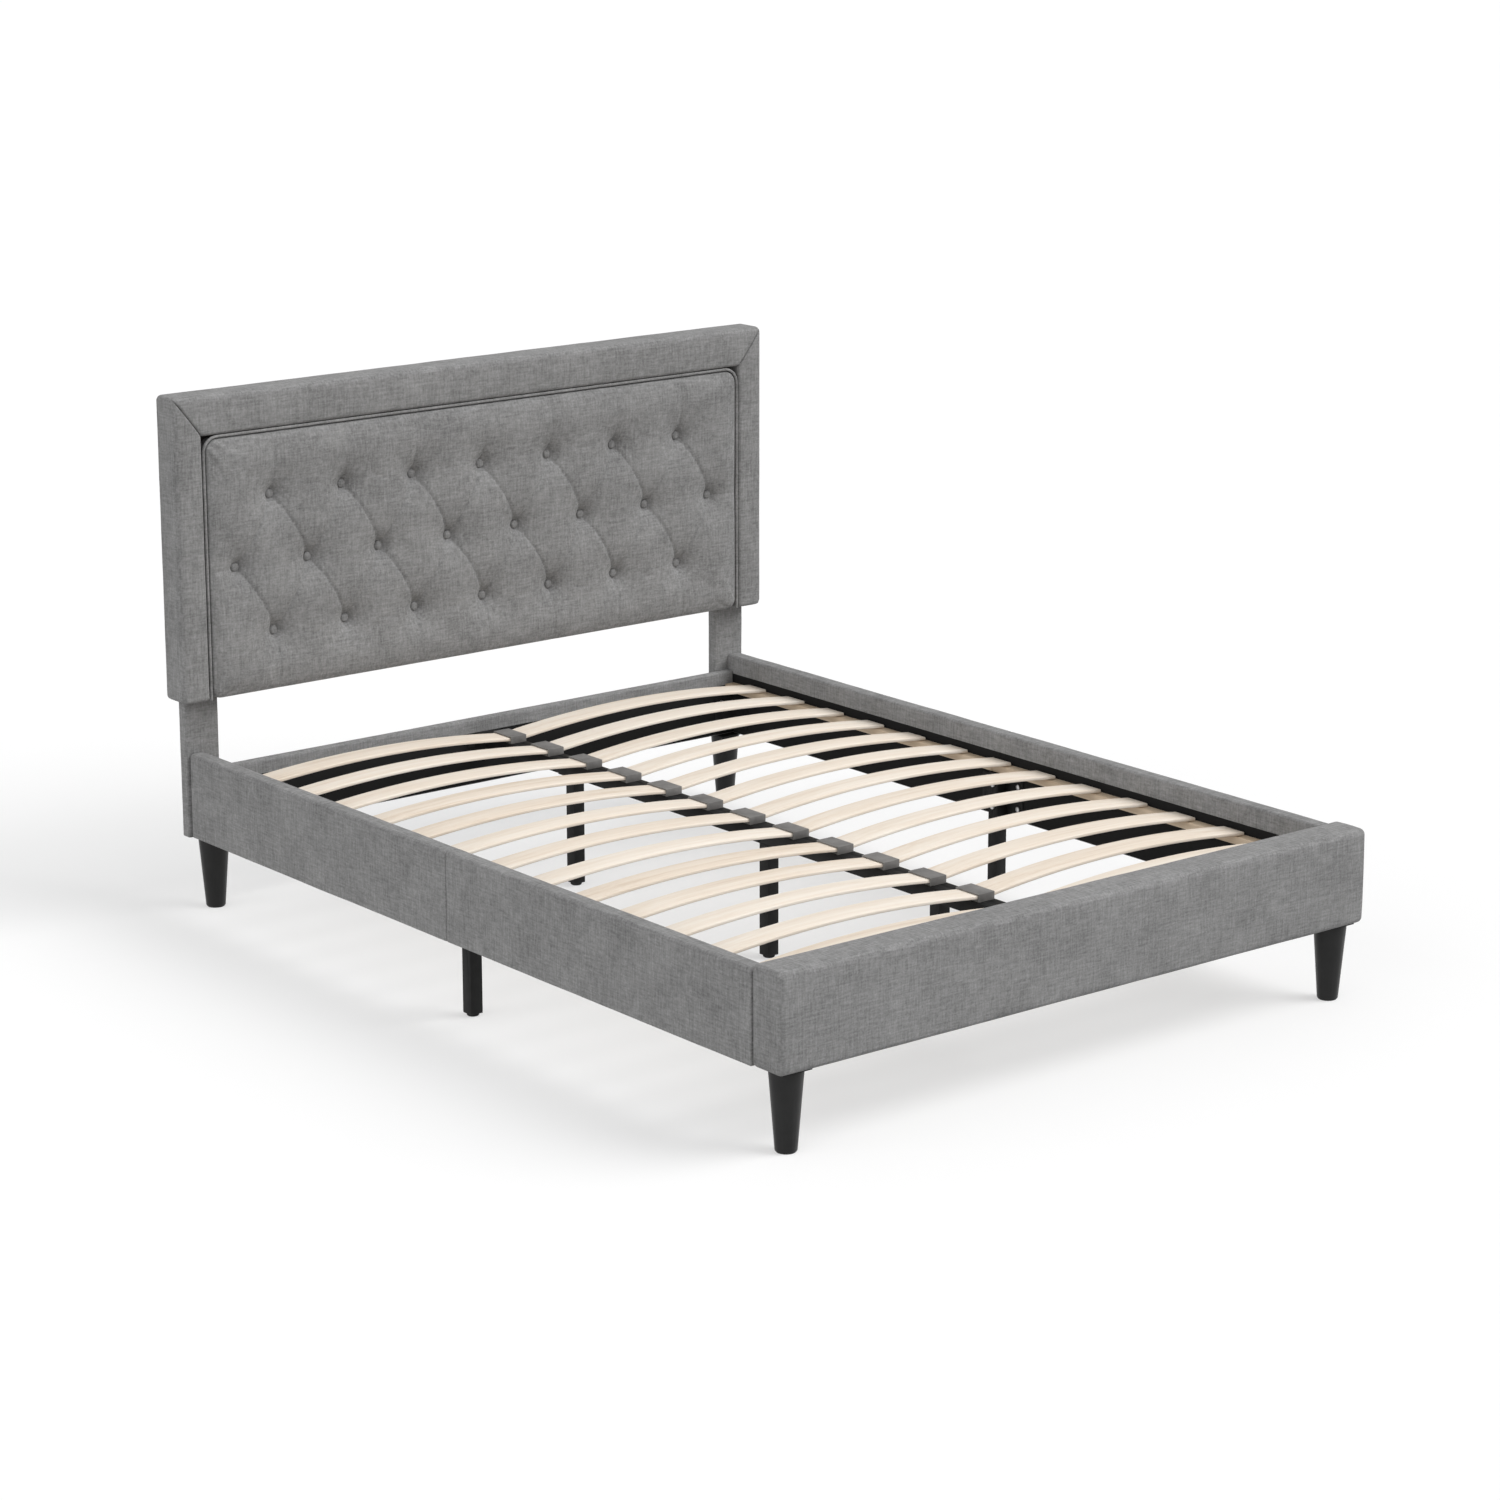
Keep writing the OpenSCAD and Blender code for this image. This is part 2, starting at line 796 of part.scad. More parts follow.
module side_glide_left() {
    glide(tube_places[3]);
}

module side_glide_right() {
    glide(tube_places[4]);
}

// Corner legs

module corner_legs() {
    color(black_steel)
        for (place = leg_places)
            translate([place[0], place[1], leg_pad_t])
                cylinder(d1 = leg_foot_d, d2 = leg_top_d, h = leg_top_z - leg_pad_t);
}

module leg_pads() {
    color([0.2, 0.2, 0.2])
        for (place = leg_places)
            translate([place[0], place[1], 0]) cylinder(d = leg_foot_d - 5, h = leg_pad_t);
}

module leg_plates() {
    half = leg_top_d / 2;
    color(black_steel)
        for (place = leg_places) translate([place[0], place[1], 0]) difference() {
            span([-half, -half, leg_top_z], [half, half, floor_gap]);
            translate([0, 0, leg_top_z - 1])
                cylinder(d = bed_bolt_d + bolt_play, h = plate_t + 2);
        }
}

module leg_bolts() {
    reach = 30;
    color("silver")
        for (place = leg_places)
            translate([place[0], place[1], leg_top_z - reach])
                cylinder(d = bed_bolt_d, h = 2 * reach + plate_t);
}

// Brackets, plates and bolts

// An angle in the corner between a side rail and the panel at the end of the space
module corner_bracket(y, toward) {
    t = bracket_t;
    far = y + toward * bracket_l;
    near = y + toward * t;
    span([rail_in - t, min(y, far), bracket_z], [rail_in, max(y, far), bracket_z + bracket_h]);
    span([rail_in - bracket_l, min(y, near), bracket_z], [rail_in - t, max(y, near), bracket_z + bracket_h]);
}

module corner_brackets() {
    color(black_steel) both_sides() {
        difference() {
            corner_bracket(inner_foot_y, 1);
            corner_bolts(bolt_play);
        }
        difference() {
            corner_bracket(lining_y, -1);
            corner_bolts(bolt_play);
        }
    }
}

module joint_plates() {
    color(black_steel) both_sides() difference() {
        span([rail_in - plate_t, inner_mid_y - joint_plate_l / 2, bracket_z],
             [rail_in, inner_mid_y + joint_plate_l / 2, bracket_z + bracket_h]);
        joint_bolts(bolt_play);
    }
}

// A bolt along X: its head is inside head_x and its shank ends at end_x
module side_bolt(head_x, end_x, play = 0) {
    cylinder_x(bolt_d + play, head_x, end_x);
    cylinder_x(bolt_head_d, head_x - bolt_head_h, head_x);
}

// The same along Y: the head is on the side of the surface that side (1 or -1) points to
module end_bolt(y, side, play = 0) {
    reach = 17;
    tip = y - side * reach;
    top = y + side * bolt_head_h;
    cylinder_y(bolt_d + play, min(y, tip), max(y, tip));
    cylinder_y(bolt_head_d, min(y, top), max(y, top));
}

module corner_bolts(play = 0) {
    reach = 20;
    offset_l = bracket_l - 20;
    for (z = bolt_zs) {
        for (y = [inner_foot_y + offset_l, lining_y - offset_l])
            translate([0, y, z]) side_bolt(rail_in - bracket_t, board_in + reach, play);
        translate([rail_in - offset_l, 0, z]) {
            end_bolt(inner_foot_y + bracket_t, 1, play);
            end_bolt(lining_y - bracket_t, -1, play);
        }
    }
}

module joint_bolts(play = 0) {
    reach = 20;
    for (z = bolt_zs) {
        for (side = [-1, 1])
            translate([0, inner_mid_y + side * joint_bolt_y, z])
                side_bolt(rail_in - plate_t, board_in + reach, play);
        translate([0, inner_mid_y, z])
            side_bolt(side_leg_x - tube_w / 2, board_in + reach, play);
    }
}

module centre_bolts() {
    for (y = centre_leg_ys, side = [-1, 1])
        translate([0, y + side * centre_bolt_y, centre_z - leg_plate_h]) {
            cylinder(d = bolt_d, h = 2 * leg_plate_h + centre_wall + 2);
            translate([0, 0, -bolt_head_h]) cylinder(d = bolt_head_d - 2, h = bolt_head_h);
        }
}

module frame_bolts() {
    color("silver") {
        both_sides() {
            bed_bolts();
            corner_bolts();
            joint_bolts();
        }
        centre_bolts();
    }
}

headboard_rails();
headboard_board();
headboard_back_cover();
border_top();
border_left();
border_right();
tufted_panel();
welt_cord();
tuft_buttons();
post_left();
post_right();
post_covers();
head_rail_board();
head_rail_cover();
side_boards_left();
side_boards_right();
side_cover_left_foot();
side_cover_left_head();
side_cover_right_foot();
side_cover_right_head();
rail_linings();
foot_boards();
foot_blocks();
foot_cover();
ledger_left();
ledger_right();
ledger_screws();
centre_rail_foot();
centre_rail_head();
centre_sleeve();
centre_brackets();
slat_caps();
centre_legs();
side_legs();
leg_plugs();
centre_glide_head();
centre_glide_mid();
centre_glide_foot();
side_glide_left();
side_glide_right();
corner_legs();
leg_plates();
leg_bolts();
leg_pads();
corner_brackets();
joint_plates();
frame_bolts();
for (row = [0:slat_rows - 1])
    slat_pair(row);
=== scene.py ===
import math

import bmesh
import bpy
import numpy as np
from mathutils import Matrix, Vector, noise


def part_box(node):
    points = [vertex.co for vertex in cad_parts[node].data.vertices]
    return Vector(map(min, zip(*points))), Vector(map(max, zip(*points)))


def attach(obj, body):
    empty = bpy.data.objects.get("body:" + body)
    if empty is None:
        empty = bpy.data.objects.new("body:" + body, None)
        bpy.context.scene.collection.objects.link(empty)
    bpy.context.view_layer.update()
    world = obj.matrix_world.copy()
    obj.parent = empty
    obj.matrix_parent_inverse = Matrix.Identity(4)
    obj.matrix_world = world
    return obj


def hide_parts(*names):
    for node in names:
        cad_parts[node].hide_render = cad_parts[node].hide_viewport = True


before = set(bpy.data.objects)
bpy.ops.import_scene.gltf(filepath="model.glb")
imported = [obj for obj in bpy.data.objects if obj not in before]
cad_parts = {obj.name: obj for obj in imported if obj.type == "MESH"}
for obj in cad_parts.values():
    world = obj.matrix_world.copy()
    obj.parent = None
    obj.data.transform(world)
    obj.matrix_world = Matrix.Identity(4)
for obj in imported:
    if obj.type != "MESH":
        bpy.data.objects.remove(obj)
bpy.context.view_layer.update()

MM = 0.001
BODY = "bed"


# ---------------------------------------------------------------- node helpers

def step(tree, kind, inputs=None, **settings):
    """A node with its settings and inputs. An input is a value or another node's output."""
    made = tree.nodes.new(kind)
    for name, value in settings.items():
        setattr(made, name, value)
    for name, value in (inputs or {}).items():
        if isinstance(value, bpy.types.NodeSocket):
            tree.links.new(value, made.inputs[name])
        else:
            made.inputs[name].default_value = value
    return made


def blank_finish(name, roughness, **sockets):
    """A material with one Principled shader. The other sockets are set directly on it."""
    finish = bpy.data.materials.new(name)
    finish.use_nodes = True
    tree = finish.node_tree
    shader = tree.nodes["Principled BSDF"]
    shader.inputs["Roughness"].default_value = roughness
    for socket, value in sockets.items():
        shader.inputs[socket.replace("_", " ")].default_value = value
    return finish, tree, shader


def object_noise(tree, scale, detail=2.0, rough=0.5, offset=(0, 0, 0)):
    """Noise on Object coordinates with its own scale along each axis, per metre."""
    where = step(tree, "ShaderNodeTexCoord").outputs["Object"]
    placed = step(tree, "ShaderNodeMapping", {"Vector": where, "Scale": scale, "Location": offset})
    return step(tree, "ShaderNodeTexNoise",
                {"Vector": placed.outputs["Vector"], "Scale": 1.0, "Detail": detail,
                 "Roughness": rough}).outputs["Fac"]


def calc(tree, operation, a, b):
    return step(tree, "ShaderNodeMath", {0: a, 1: b}, operation=operation).outputs[0]


def blend(tree, a, share_a, b, share_b):
    """The weighted sum of two values."""
    return calc(tree, "ADD", calc(tree, "MULTIPLY", a, share_a),
                calc(tree, "MULTIPLY", b, share_b))


def tint(tree, shader, value, stops):
    """Colours the finish by a ramp: stops are (place, colour)."""
    ramp = step(tree, "ShaderNodeValToRGB", {"Fac": value})
    bands = ramp.color_ramp.elements
    while len(bands) < len(stops):
        bands.new(0.5)
    for band, (place, colour) in zip(bands, stops):
        band.position = place
        band.color = (*colour, 1.0)
    tree.links.new(ramp.outputs["Color"], shader.inputs["Base Color"])


def relief(tree, shader, height, strength, distance):
    bump = step(tree, "ShaderNodeBump",
                {"Height": height, "Strength": strength, "Distance": distance})
    tree.links.new(bump.outputs["Normal"], shader.inputs["Normal"])


# ---------------------------------------------------------------- finishes

def woven(name, dark, light, thread, slub, roughness, sheen):
    """Cloth with threads along all three axes, so that two of them cross on every face."""
    finish, tree, shader = blank_finish(name, roughness, Sheen_Weight=sheen, Sheen_Roughness=0.45,
                                        Specular_IOR_Level=0.25)
    lines = None
    for axis in range(3):
        scale = [thread] * 3
        scale[axis] = slub
        line = object_noise(tree, scale, 3.0, 0.6, (axis * 7.3, axis * 3.1, axis * 5.7))
        lines = line if lines is None else calc(tree, "ADD", lines, line)
    weave = calc(tree, "MULTIPLY", lines, 1 / 3)
    heather = object_noise(tree, (9.0, 9.0, 9.0), 4.0, 0.6)
    tint(tree, shader, blend(tree, weave, 0.82, heather, 0.18), [(0.36, dark), (0.64, light)])
    grain = object_noise(tree, (1500.0,) * 3, 1.0)
    height = calc(tree, "ADD", weave, calc(tree, "MULTIPLY", grain, 0.35))
    relief(tree, shader, height, 0.55, 0.9 * MM)
    return finish


def grained(name, tints, along, across, roughness):
    """Wood with its grain along X: fine pores in long soft bands."""
    finish, tree, shader = blank_finish(name, roughness, Specular_IOR_Level=0.35)
    bands = object_noise(tree, (along, across, across), 5.0, 0.6)
    pores = object_noise(tree, (along * 4, across * 9, across * 9), 2.0, 0.6, (3.0, 1.0, 2.0))
    tone = step(tree, "ShaderNodeAttribute", attribute_name="tone").outputs["Fac"]
    mixed = blend(tree, bands, 0.7, pores, 0.3)
    mixed = calc(tree, "ADD", mixed, calc(tree, "MULTIPLY", tone, 0.16))
    tint(tree, shader, mixed, [(0.34, tints[0]), (0.52, tints[1]), (0.74, tints[2])])
    relief(tree, shader, pores, 0.3, 0.25 * MM)
    return finish


def plain_wood(name, tints, axis, roughness):
    """Sawn wood with the grain along the given axis."""
    finish, tree, shader = blank_finish(name, roughness)
    scale = [70.0] * 3
    scale[axis] = 3.0
    rings = object_noise(tree, scale, 6.0, 0.62)
    tint(tree, shader, rings, [(0.36, tints[0]), (0.62, tints[1])])
    relief(tree, shader, rings, 0.4, 0.5 * MM)
    return finish


def coated(name, dark, light, roughness, texture, depth, metallic=0.0, shine=0.5):
    """Paint, lacquer, powder coat, zinc or moulded plastic: a mottled colour with a fine skin."""
    finish, tree, shader = blank_finish(name, roughness, Metallic=metallic,
                                        Specular_IOR_Level=shine)
    cloud = object_noise(tree, (24.0,) * 3, 4.0, 0.6)
    tint(tree, shader, cloud, [(0.35, dark), (0.65, light)])
    wear = object_noise(tree, (60.0,) * 3, 3.0)
    spread = step(tree, "ShaderNodeMapRange", {"Value": wear, "To Min": roughness - 0.06,
                                               "To Max": roughness + 0.1})
    tree.links.new(spread.outputs["Result"], shader.inputs["Roughness"])
    relief(tree, shader, object_noise(tree, (texture,) * 3, 2.0), 0.3, depth)
    return finish


def grey(level, warmth=0.0):
    return (level * (1 + warmth), level, level * (1 - warmth))


ALONG_X, ALONG_Y, ALONG_Z = 0, 1, 2
PINE_TINTS = [(0.50, 0.36, 0.20), (0.70, 0.54, 0.34)]

LINEN = woven("grey linen", grey(0.125, 0.002), grey(0.325, 0.004),
              thread=230.0, slub=24.0, roughness=0.9, sheen=0.06)
DUST_CLOTH = woven("backing cloth", grey(0.07), grey(0.12),
                   thread=700.0, slub=200.0, roughness=0.95, sheen=0.03)
LINING = woven("black lining", grey(0.006), grey(0.014),
               thread=700.0, slub=500.0, roughness=0.95, sheen=0.0)
BIRCH = grained("birch slat", [(0.66, 0.54, 0.42), (0.78, 0.68, 0.57), (0.85, 0.78, 0.69)],
                along=2.2, across=60.0, roughness=0.55)
LEDGER = plain_wood("birch ledger", [(0.52, 0.40, 0.28), (0.66, 0.53, 0.39)], ALONG_Y, 0.6)
PINE = plain_wood("sawn pine", PINE_TINTS, ALONG_Y, 0.7)
PINE_ACROSS = plain_wood("sawn pine across", PINE_TINTS, ALONG_X, 0.7)
PINE_UP = plain_wood("sawn pine upright", PINE_TINTS, ALONG_Z, 0.7)
# Near-black plywood tint: painted shade for the headboard board where it shows in the gaps at the
# top corners.
PLYWOOD_AS_PAINTED_SHADE = plain_wood("plywood darkened as painted shade", [(0.025, 0.02, 0.016), (0.05, 0.04, 0.03)], ALONG_X, 0.7)
POWDER_COAT = coated("black powder coat", grey(0.005), grey(0.010), 0.55,
                     texture=1400.0, depth=0.12 * MM, shine=0.2)
LACQUER = coated("black lacquer", grey(0.006), grey(0.010), 0.38,
                 texture=300.0, depth=0.05 * MM, shine=0.28)
CAP_PLASTIC = coated("grey moulded plastic", grey(0.13, 0.04), grey(0.19, 0.04), 0.45,
                     texture=900.0, depth=0.05 * MM)
FOOT_PLASTIC = coated("black moulded plastic", grey(0.008), grey(0.014), 0.55,
                      texture=900.0, depth=0.05 * MM, shine=0.25)
ZINC = coated("zinc plate", grey(0.5), grey(0.66), 0.32,
              texture=260.0, depth=0.03 * MM, metallic=1.0)


# ---------------------------------------------------------------- mesh helpers

def face_outward(mesh):
    shell = bmesh.new()
    shell.from_mesh(mesh)
    bmesh.ops.recalc_face_normals(shell, faces=shell.faces)
    shell.to_mesh(mesh)
    shell.free()


def new_piece(name, points, faces, finish, slot, *nodes, body=BODY, crease=35.0):
    """A shaded piece with outward faces that rides on its body and stands for its nodes."""
    mesh = bpy.data.meshes.new(name)
    mesh.from_pydata([tuple(p) for p in points], [], faces)
    face_outward(mesh)
    return hand_over(name, mesh, finish, slot, *nodes, body=body, crease=crease)


def hand_over(name, mesh, finish, slot, *nodes, body=BODY, crease=35.0):
    mesh.materials.clear()
    mesh.materials.append(finish)
    mesh.shade_smooth()
    mesh.set_sharp_from_angle(angle=math.radians(crease))
    piece = bpy.data.objects.new(name, mesh)
    bpy.context.scene.collection.objects.link(piece)
    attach(piece, body)
    if nodes:
        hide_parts(*nodes)
    return piece


def spaced(start, end, cell, edge, fine):
    """Places from start to end: close together within edge of both ends, else cell apart."""
    near = np.arange(0, edge, fine)
    count = max(2, int((end - start - 2 * edge) / cell) + 1)
    middle = np.linspace(edge, end - start - edge, count)
    return start + np.concatenate([near, middle, (end - start) - near[::-1]])


CORNER_BENDS = 6


def corner_ways(before, here, after):
    """Unit directions from a corner back and on along its sides, and half the angle there."""
    back, on = before - here, after - here
    back, on = back / np.linalg.norm(back), on / np.linalg.norm(on)
    return back, on, math.acos(np.clip(back @ on, -1, 1)) / 2


def outline(corners, cell):
    """A closed loop through corners (u, v, radius), rounded there and divided along its sides."""
    loop = []
    count = len(corners)
    for i in range(count):
        before, here, after, past = (np.array(corners[k % count][:2], float)
                                     for k in (i - 1, i, i + 1, i + 2))
        radius, next_radius = corners[i][2], corners[(i + 1) % count][2]
        if radius > 0:
            back, on, half = corner_ways(before, here, after)
            run = radius / math.tan(half)
            swing = math.pi - 2 * half
            centre = here + (back + on) / np.linalg.norm(back + on) * radius / math.sin(half)
            first, last = here + back * run - centre, here + on * run - centre
            for k in range(CORNER_BENDS + 1):
                share = k / CORNER_BENDS
                way = first * math.sin((1 - share) * swing) + last * math.sin(share * swing)
                loop.append(centre + way / math.sin(swing))
        else:
            loop.append(here)
        if next_radius > 0:
            toward, _, half = corner_ways(here, after, past)
            after = after + toward * next_radius / math.tan(half)
        start = loop[-1]
        parts = int(np.linalg.norm(after - start) / cell)
        loop += [start + (after - start) * k / (parts + 1) for k in range(1, parts + 1)]
    return np.array(loop)


def outward(loop):
    """Unit normals of a closed loop, pointing away from its inside."""
    along = np.roll(loop, -1, 0) - np.roll(loop, 1, 0)
    normal = np.stack([along[:, 1], -along[:, 0]], 1)
    normal /= np.linalg.norm(normal, axis=1)[:, None] + 1e-12
    area = np.sum(loop[:, 0] * np.roll(loop[:, 1], -1) - loop[:, 1] * np.roll(loop[:, 0], -1))
    return normal if area > 0 else -normal


def tuck(distance, radius):
    """How far a rounded edge has fallen back at a distance from the end."""
    reach = np.clip(1 - np.asarray(distance) / radius, 0, 1)
    return radius * (1 - np.sqrt(1 - reach * reach))


def skin(rings):
    """Points and faces of a closed skin through equal rings, with a face over each end."""
    count, total = len(rings[0]), len(rings)
    faces = []
    for ring in range(0, (total - 1) * count, count):
        for i in range(count):
            after = (i + 1) % count
            faces.append((ring + i, ring + after, ring + count + after, ring + count + i))
    faces.append(tuple(range(count - 1, -1, -1)))
    faces.append(tuple(range((total - 1) * count, total * count)))
    return np.concatenate(rings), faces


def wrapped_run(corners, cell, stations, place, soft, ends=(5 * MM, 5 * MM)):
    """A section wrapped in cloth and run along stations. soft(u, v) is how far it may tuck in."""
    loop = outline(corners, cell)
    normal = outward(loop)
    give = np.array([soft(u, v) for u, v in loop])
    rings = []
    for at in stations:
        back = tuck(at - stations[0], ends[0]) + tuck(stations[-1] - at, ends[1])
        ring = loop - normal * np.minimum(back, give)[:, None]
        rings.append(np.array([place(u, v, at) for u, v in ring]))
    return skin(rings)


def rumple(points, faces, height, size, keep=lambda p: 1.0):
    """Lets the cloth ripple gently: moves points along their normals by smooth noise."""
    mesh = bpy.data.meshes.new("rumple")
    mesh.from_pydata([tuple(p) for p in points], [], faces)
    made = bmesh.new()
    made.from_mesh(mesh)
    bmesh.ops.recalc_face_normals(made, faces=made.faces)
    for v in made.verts:
        wave = noise.noise(v.co * size) * 0.7 + noise.noise(v.co * size * 2.7) * 0.3
        v.co += v.normal * wave * height * keep(v.co)
    moved = [v.co.copy() for v in made.verts]
    made.free()
    bpy.data.meshes.remove(mesh)
    return np.array(moved)


def edge_softened(node, name, finish, slot, width, body=BODY):
    """The CAD node with its points merged and its edges rounded off."""
    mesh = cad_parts[node].data.copy()
    made = bmesh.new()
    made.from_mesh(mesh)
    bmesh.ops.remove_doubles(made, verts=made.verts, dist=0.01 * MM)
    bmesh.ops.dissolve_limit(made, angle_limit=math.radians(1.0), verts=made.verts,
                             edges=made.edges)
    sharp = [e for e in made.edges
             if len(e.link_faces) == 2 and e.calc_face_angle() > math.radians(40)]
    bmesh.ops.bevel(made, geom=sharp, offset=width, segments=2, profile=0.5, affect="EDGES",
                    clamp_overlap=True)
    made.to_mesh(mesh)
    made.free()
    return hand_over(name, mesh, finish, slot, node, body=body, crease=40.0)


# ---------------------------------------------------------------- Geometry Nodes helpers

SOCKETS = {int: "NodeSocketInt", float: "NodeSocketFloat", tuple: "NodeSocketVector"}


def open_tree(name, sizes):
    """A Geometry Nodes tree with a Geometry input and one named input for each size."""
    tree = bpy.data.node_groups.new(name, "GeometryNodeTree")
    tree.interface.new_socket(name="Geometry", in_out="INPUT", socket_type="NodeSocketGeometry")
    for size, value in sizes.items():
        tree.interface.new_socket(name=size, in_out="INPUT", socket_type=SOCKETS[type(value)])
    tree.interface.new_socket(name="Geometry", in_out="OUTPUT", socket_type="NodeSocketGeometry")
    return tree, tree.nodes.new("NodeGroupInput").outputs


def close_tree(tree, geometry, finish):
    real = step(tree, "GeometryNodeRealizeInstances", {"Geometry": geometry})
    painted = step(tree, "GeometryNodeSetMaterial",
                   {"Geometry": real.outputs[0], "Material": finish})
    tree.links.new(painted.outputs[0], tree.nodes.new("NodeGroupOutput").inputs[0])


def grow(name, tree, sizes, base, finish, slot, *nodes, crease=35.0):
    """Runs the tree once on a base mesh and keeps the result as a plain mesh."""
    seed = bpy.data.objects.new(name + "_seed", base)
    bpy.context.scene.collection.objects.link(seed)
    modifier = seed.modifiers.new("grow", "NODES")
    modifier.node_group = tree
    ids = {s.name: s.identifier for s in tree.interface.items_tree if s.in_out == "INPUT"}
    for size, value in sizes.items():
        modifier[ids[size]] = value
    grown = seed.evaluated_get(bpy.context.evaluated_depsgraph_get())
    mesh = bpy.data.meshes.new_from_object(grown)
    bpy.data.objects.remove(seed)
    return hand_over(name, mesh, finish, slot, *nodes, crease=crease)


def vec(tree, x=0.0, y=0.0, z=0.0):
    return step(tree, "ShaderNodeCombineXYZ", {"X": x, "Y": y, "Z": z}).outputs[0]


# ---------------------------------------------------------------- slats

SLAT_ROWS = 13
SLAT_T = 8 * MM
SLAT_IN_CAP = 15 * MM


def slat_tree(sizes):
    """Rows of two bowed slats: an arc with a rounded section, copied down the bed."""
    tree, size = open_tree("bowed slats", sizes)
    lift = calc(tree, "MULTIPLY", size["Thickness"], 0.5)
    low = calc(tree, "ADD", size["Seat"], lift)
    high = calc(tree, "ADD", low, size["Bow"])
    middle = blend(tree, size["Inner end"], 0.5, size["Outer end"], 0.5)
    arc = step(tree, "GeometryNodeCurveArc", {
        "Resolution": 40, "Start": vec(tree, size["Inner end"], 0.0, low),
        "Middle": vec(tree, middle, 0.0, high),
        "End": vec(tree, size["Outer end"], 0.0, low)}, mode="POINTS")
    level = step(tree, "GeometryNodeSetCurveNormal", {"Curve": arc.outputs["Curve"]}, mode="Z_UP")
    blank = step(tree, "GeometryNodeCurvePrimitiveQuadrilateral",
                 {"Width": size["Width"], "Height": size["Thickness"]}, mode="RECTANGLE")
    eased = step(tree, "GeometryNodeFilletCurve",
                 {"Curve": blank.outputs[0], "Radius": size["Edge"], "Count": 3}, mode="POLY")
    slat = step(tree, "GeometryNodeCurveToMesh", {
        "Curve": level.outputs[0], "Profile Curve": eased.outputs[0], "Fill Caps": True})
    rows = step(tree, "GeometryNodeMeshLine", {
        "Count": size["Rows"], "Start Location": vec(tree, 0.0, size["First row"], 0.0),
        "Offset": vec(tree, 0.0, calc(tree, "MULTIPLY", size["Pitch"], -1.0), 0.0)}, mode="OFFSET")
    sides = []
    for turn, seed in ((0.0, 5), (math.pi, 36)):
        laid = step(tree, "GeometryNodeInstanceOnPoints", {
            "Points": rows.outputs[0], "Instance": slat.outputs[0], "Rotation": (0.0, 0.0, turn)})
        tone = step(tree, "FunctionNodeRandomValue", {"Seed": seed}, data_type="FLOAT")
        sides.append(step(tree, "GeometryNodeStoreNamedAttribute", {
            "Geometry": laid.outputs[0], "Name": "tone",
            "Value": tone.outputs[1]}, data_type="FLOAT", domain="INSTANCE").outputs[0])
    both = step(tree, "GeometryNodeJoinGeometry")
    for side in sides:
        tree.links.new(side, both.inputs[0])
    close_tree(tree, both.outputs[0], BIRCH)
    return tree


def slats():
    nodes = [f"slat_pair_{row + 1:02d}" for row in range(SLAT_ROWS)]
    first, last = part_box(nodes[0]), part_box(nodes[-1])
    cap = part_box("slat_caps")[1].x
    sizes = {
        "Rows": SLAT_ROWS, "First row": (first[0].y + first[1].y) / 2,
        "Pitch": (first[0].y - last[0].y) / (SLAT_ROWS - 1), "Width": first[1].y - first[0].y,
        "Thickness": SLAT_T, "Bow": first[1].z - first[0].z - SLAT_T, "Seat": first[0].z,
        "Inner end": cap - SLAT_IN_CAP, "Outer end": first[1].x, "Edge": 2.5 * MM}
    empty = bpy.data.meshes.new("slats base")
    grow("bed_slats", slat_tree(sizes), sizes, empty, BIRCH, "birch", *nodes, crease=50.0)


# ---------------------------------------------------------------- headboard

panel_low, panel_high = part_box("tufted_panel")
side_low, side_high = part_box("border_left")
side_width, border_depth = side_high.x - side_low.x, side_high.y - side_low.y
board_x, headboard_low = -side_low.x, side_low.z
top_border_low, headboard_top = (corner.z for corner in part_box("border_top"))
buttons_low, buttons_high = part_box("tuft_buttons")

BUTTONS_ACROSS = 8
BUTTON_D = 22 * MM
ROW_PITCH = (buttons_high.z - buttons_low.z - BUTTON_D) / 2
BUTTON_PITCH = (buttons_high.x - buttons_low.x - BUTTON_D) / (BUTTONS_ACROSS - 1)
MID_ROW = (buttons_low.z + buttons_high.z) / 2

# Depths along Y: the crests of the pillows, the bottom of a dimple, and where a button sits.
CREST_Y = panel_low.y - 9 * MM
DIMPLE_Y = buttons_low.y + 7 * MM
BUTTON_Y = DIMPLE_Y + 1.5 * MM

PANEL_CELL = 7 * MM
PANEL_EDGE_R = 15 * MM
RIM_REACH = 70 * MM
TUFT_WIDTH = 26 * MM
STEEP_FALL, GENTLE_FALL = 18 * MM, 45 * MM
SUM_POWER = 3.0

# How strong a pleat is: leaning left, leaning right, upright to the edge, level to the edge.
LEANING, CROSSING, UPRIGHT, LEVEL = 1.0, 0.72, 0.62, 0.5
PLEAT_D = 4.6 * MM
PLEAT_W = 3.4 * MM
PLEAT_BOW = 5 * MM
PLEAT_LAP = 3 * MM
LAP_REACH = 11 * MM
PLEAT_FADE = 12
PLEAT_SAG, PLEAT_SAG_MORE = 4.6, 8.0  # in millimetres: along a pleat, and more towards a button

STUFF_FRAMES = 20
STUFF_PRESSURE = 3.0
STUFF_CAP = 5 * MM
CLOTH = {"quality": 5, "mass": 0.3, "tension_stiffness": 12, "compression_stiffness": 4,
         "shear_stiffness": 4, "bending_stiffness": 0.4, "air_damping": 4,
         "vertex_group_mass": "hold", "use_pressure": True}

OUTER_CORNER_R = 13 * MM
BORDER_FRONT = 16 * MM
BORDER_CROWN = 3 * MM
MITRE_TUCK = 5 * MM


def button_places():
    """Centres of the buttons seen from the front, a full row between two shorter ones."""
    places = []
    for row in (-1, 0, 1):
        count = BUTTONS_ACROSS - abs(row)
        places += [((i - (count - 1) / 2) * BUTTON_PITCH, MID_ROW + row * ROW_PITCH)
                   for i in range(count)]
    return np.array(places)


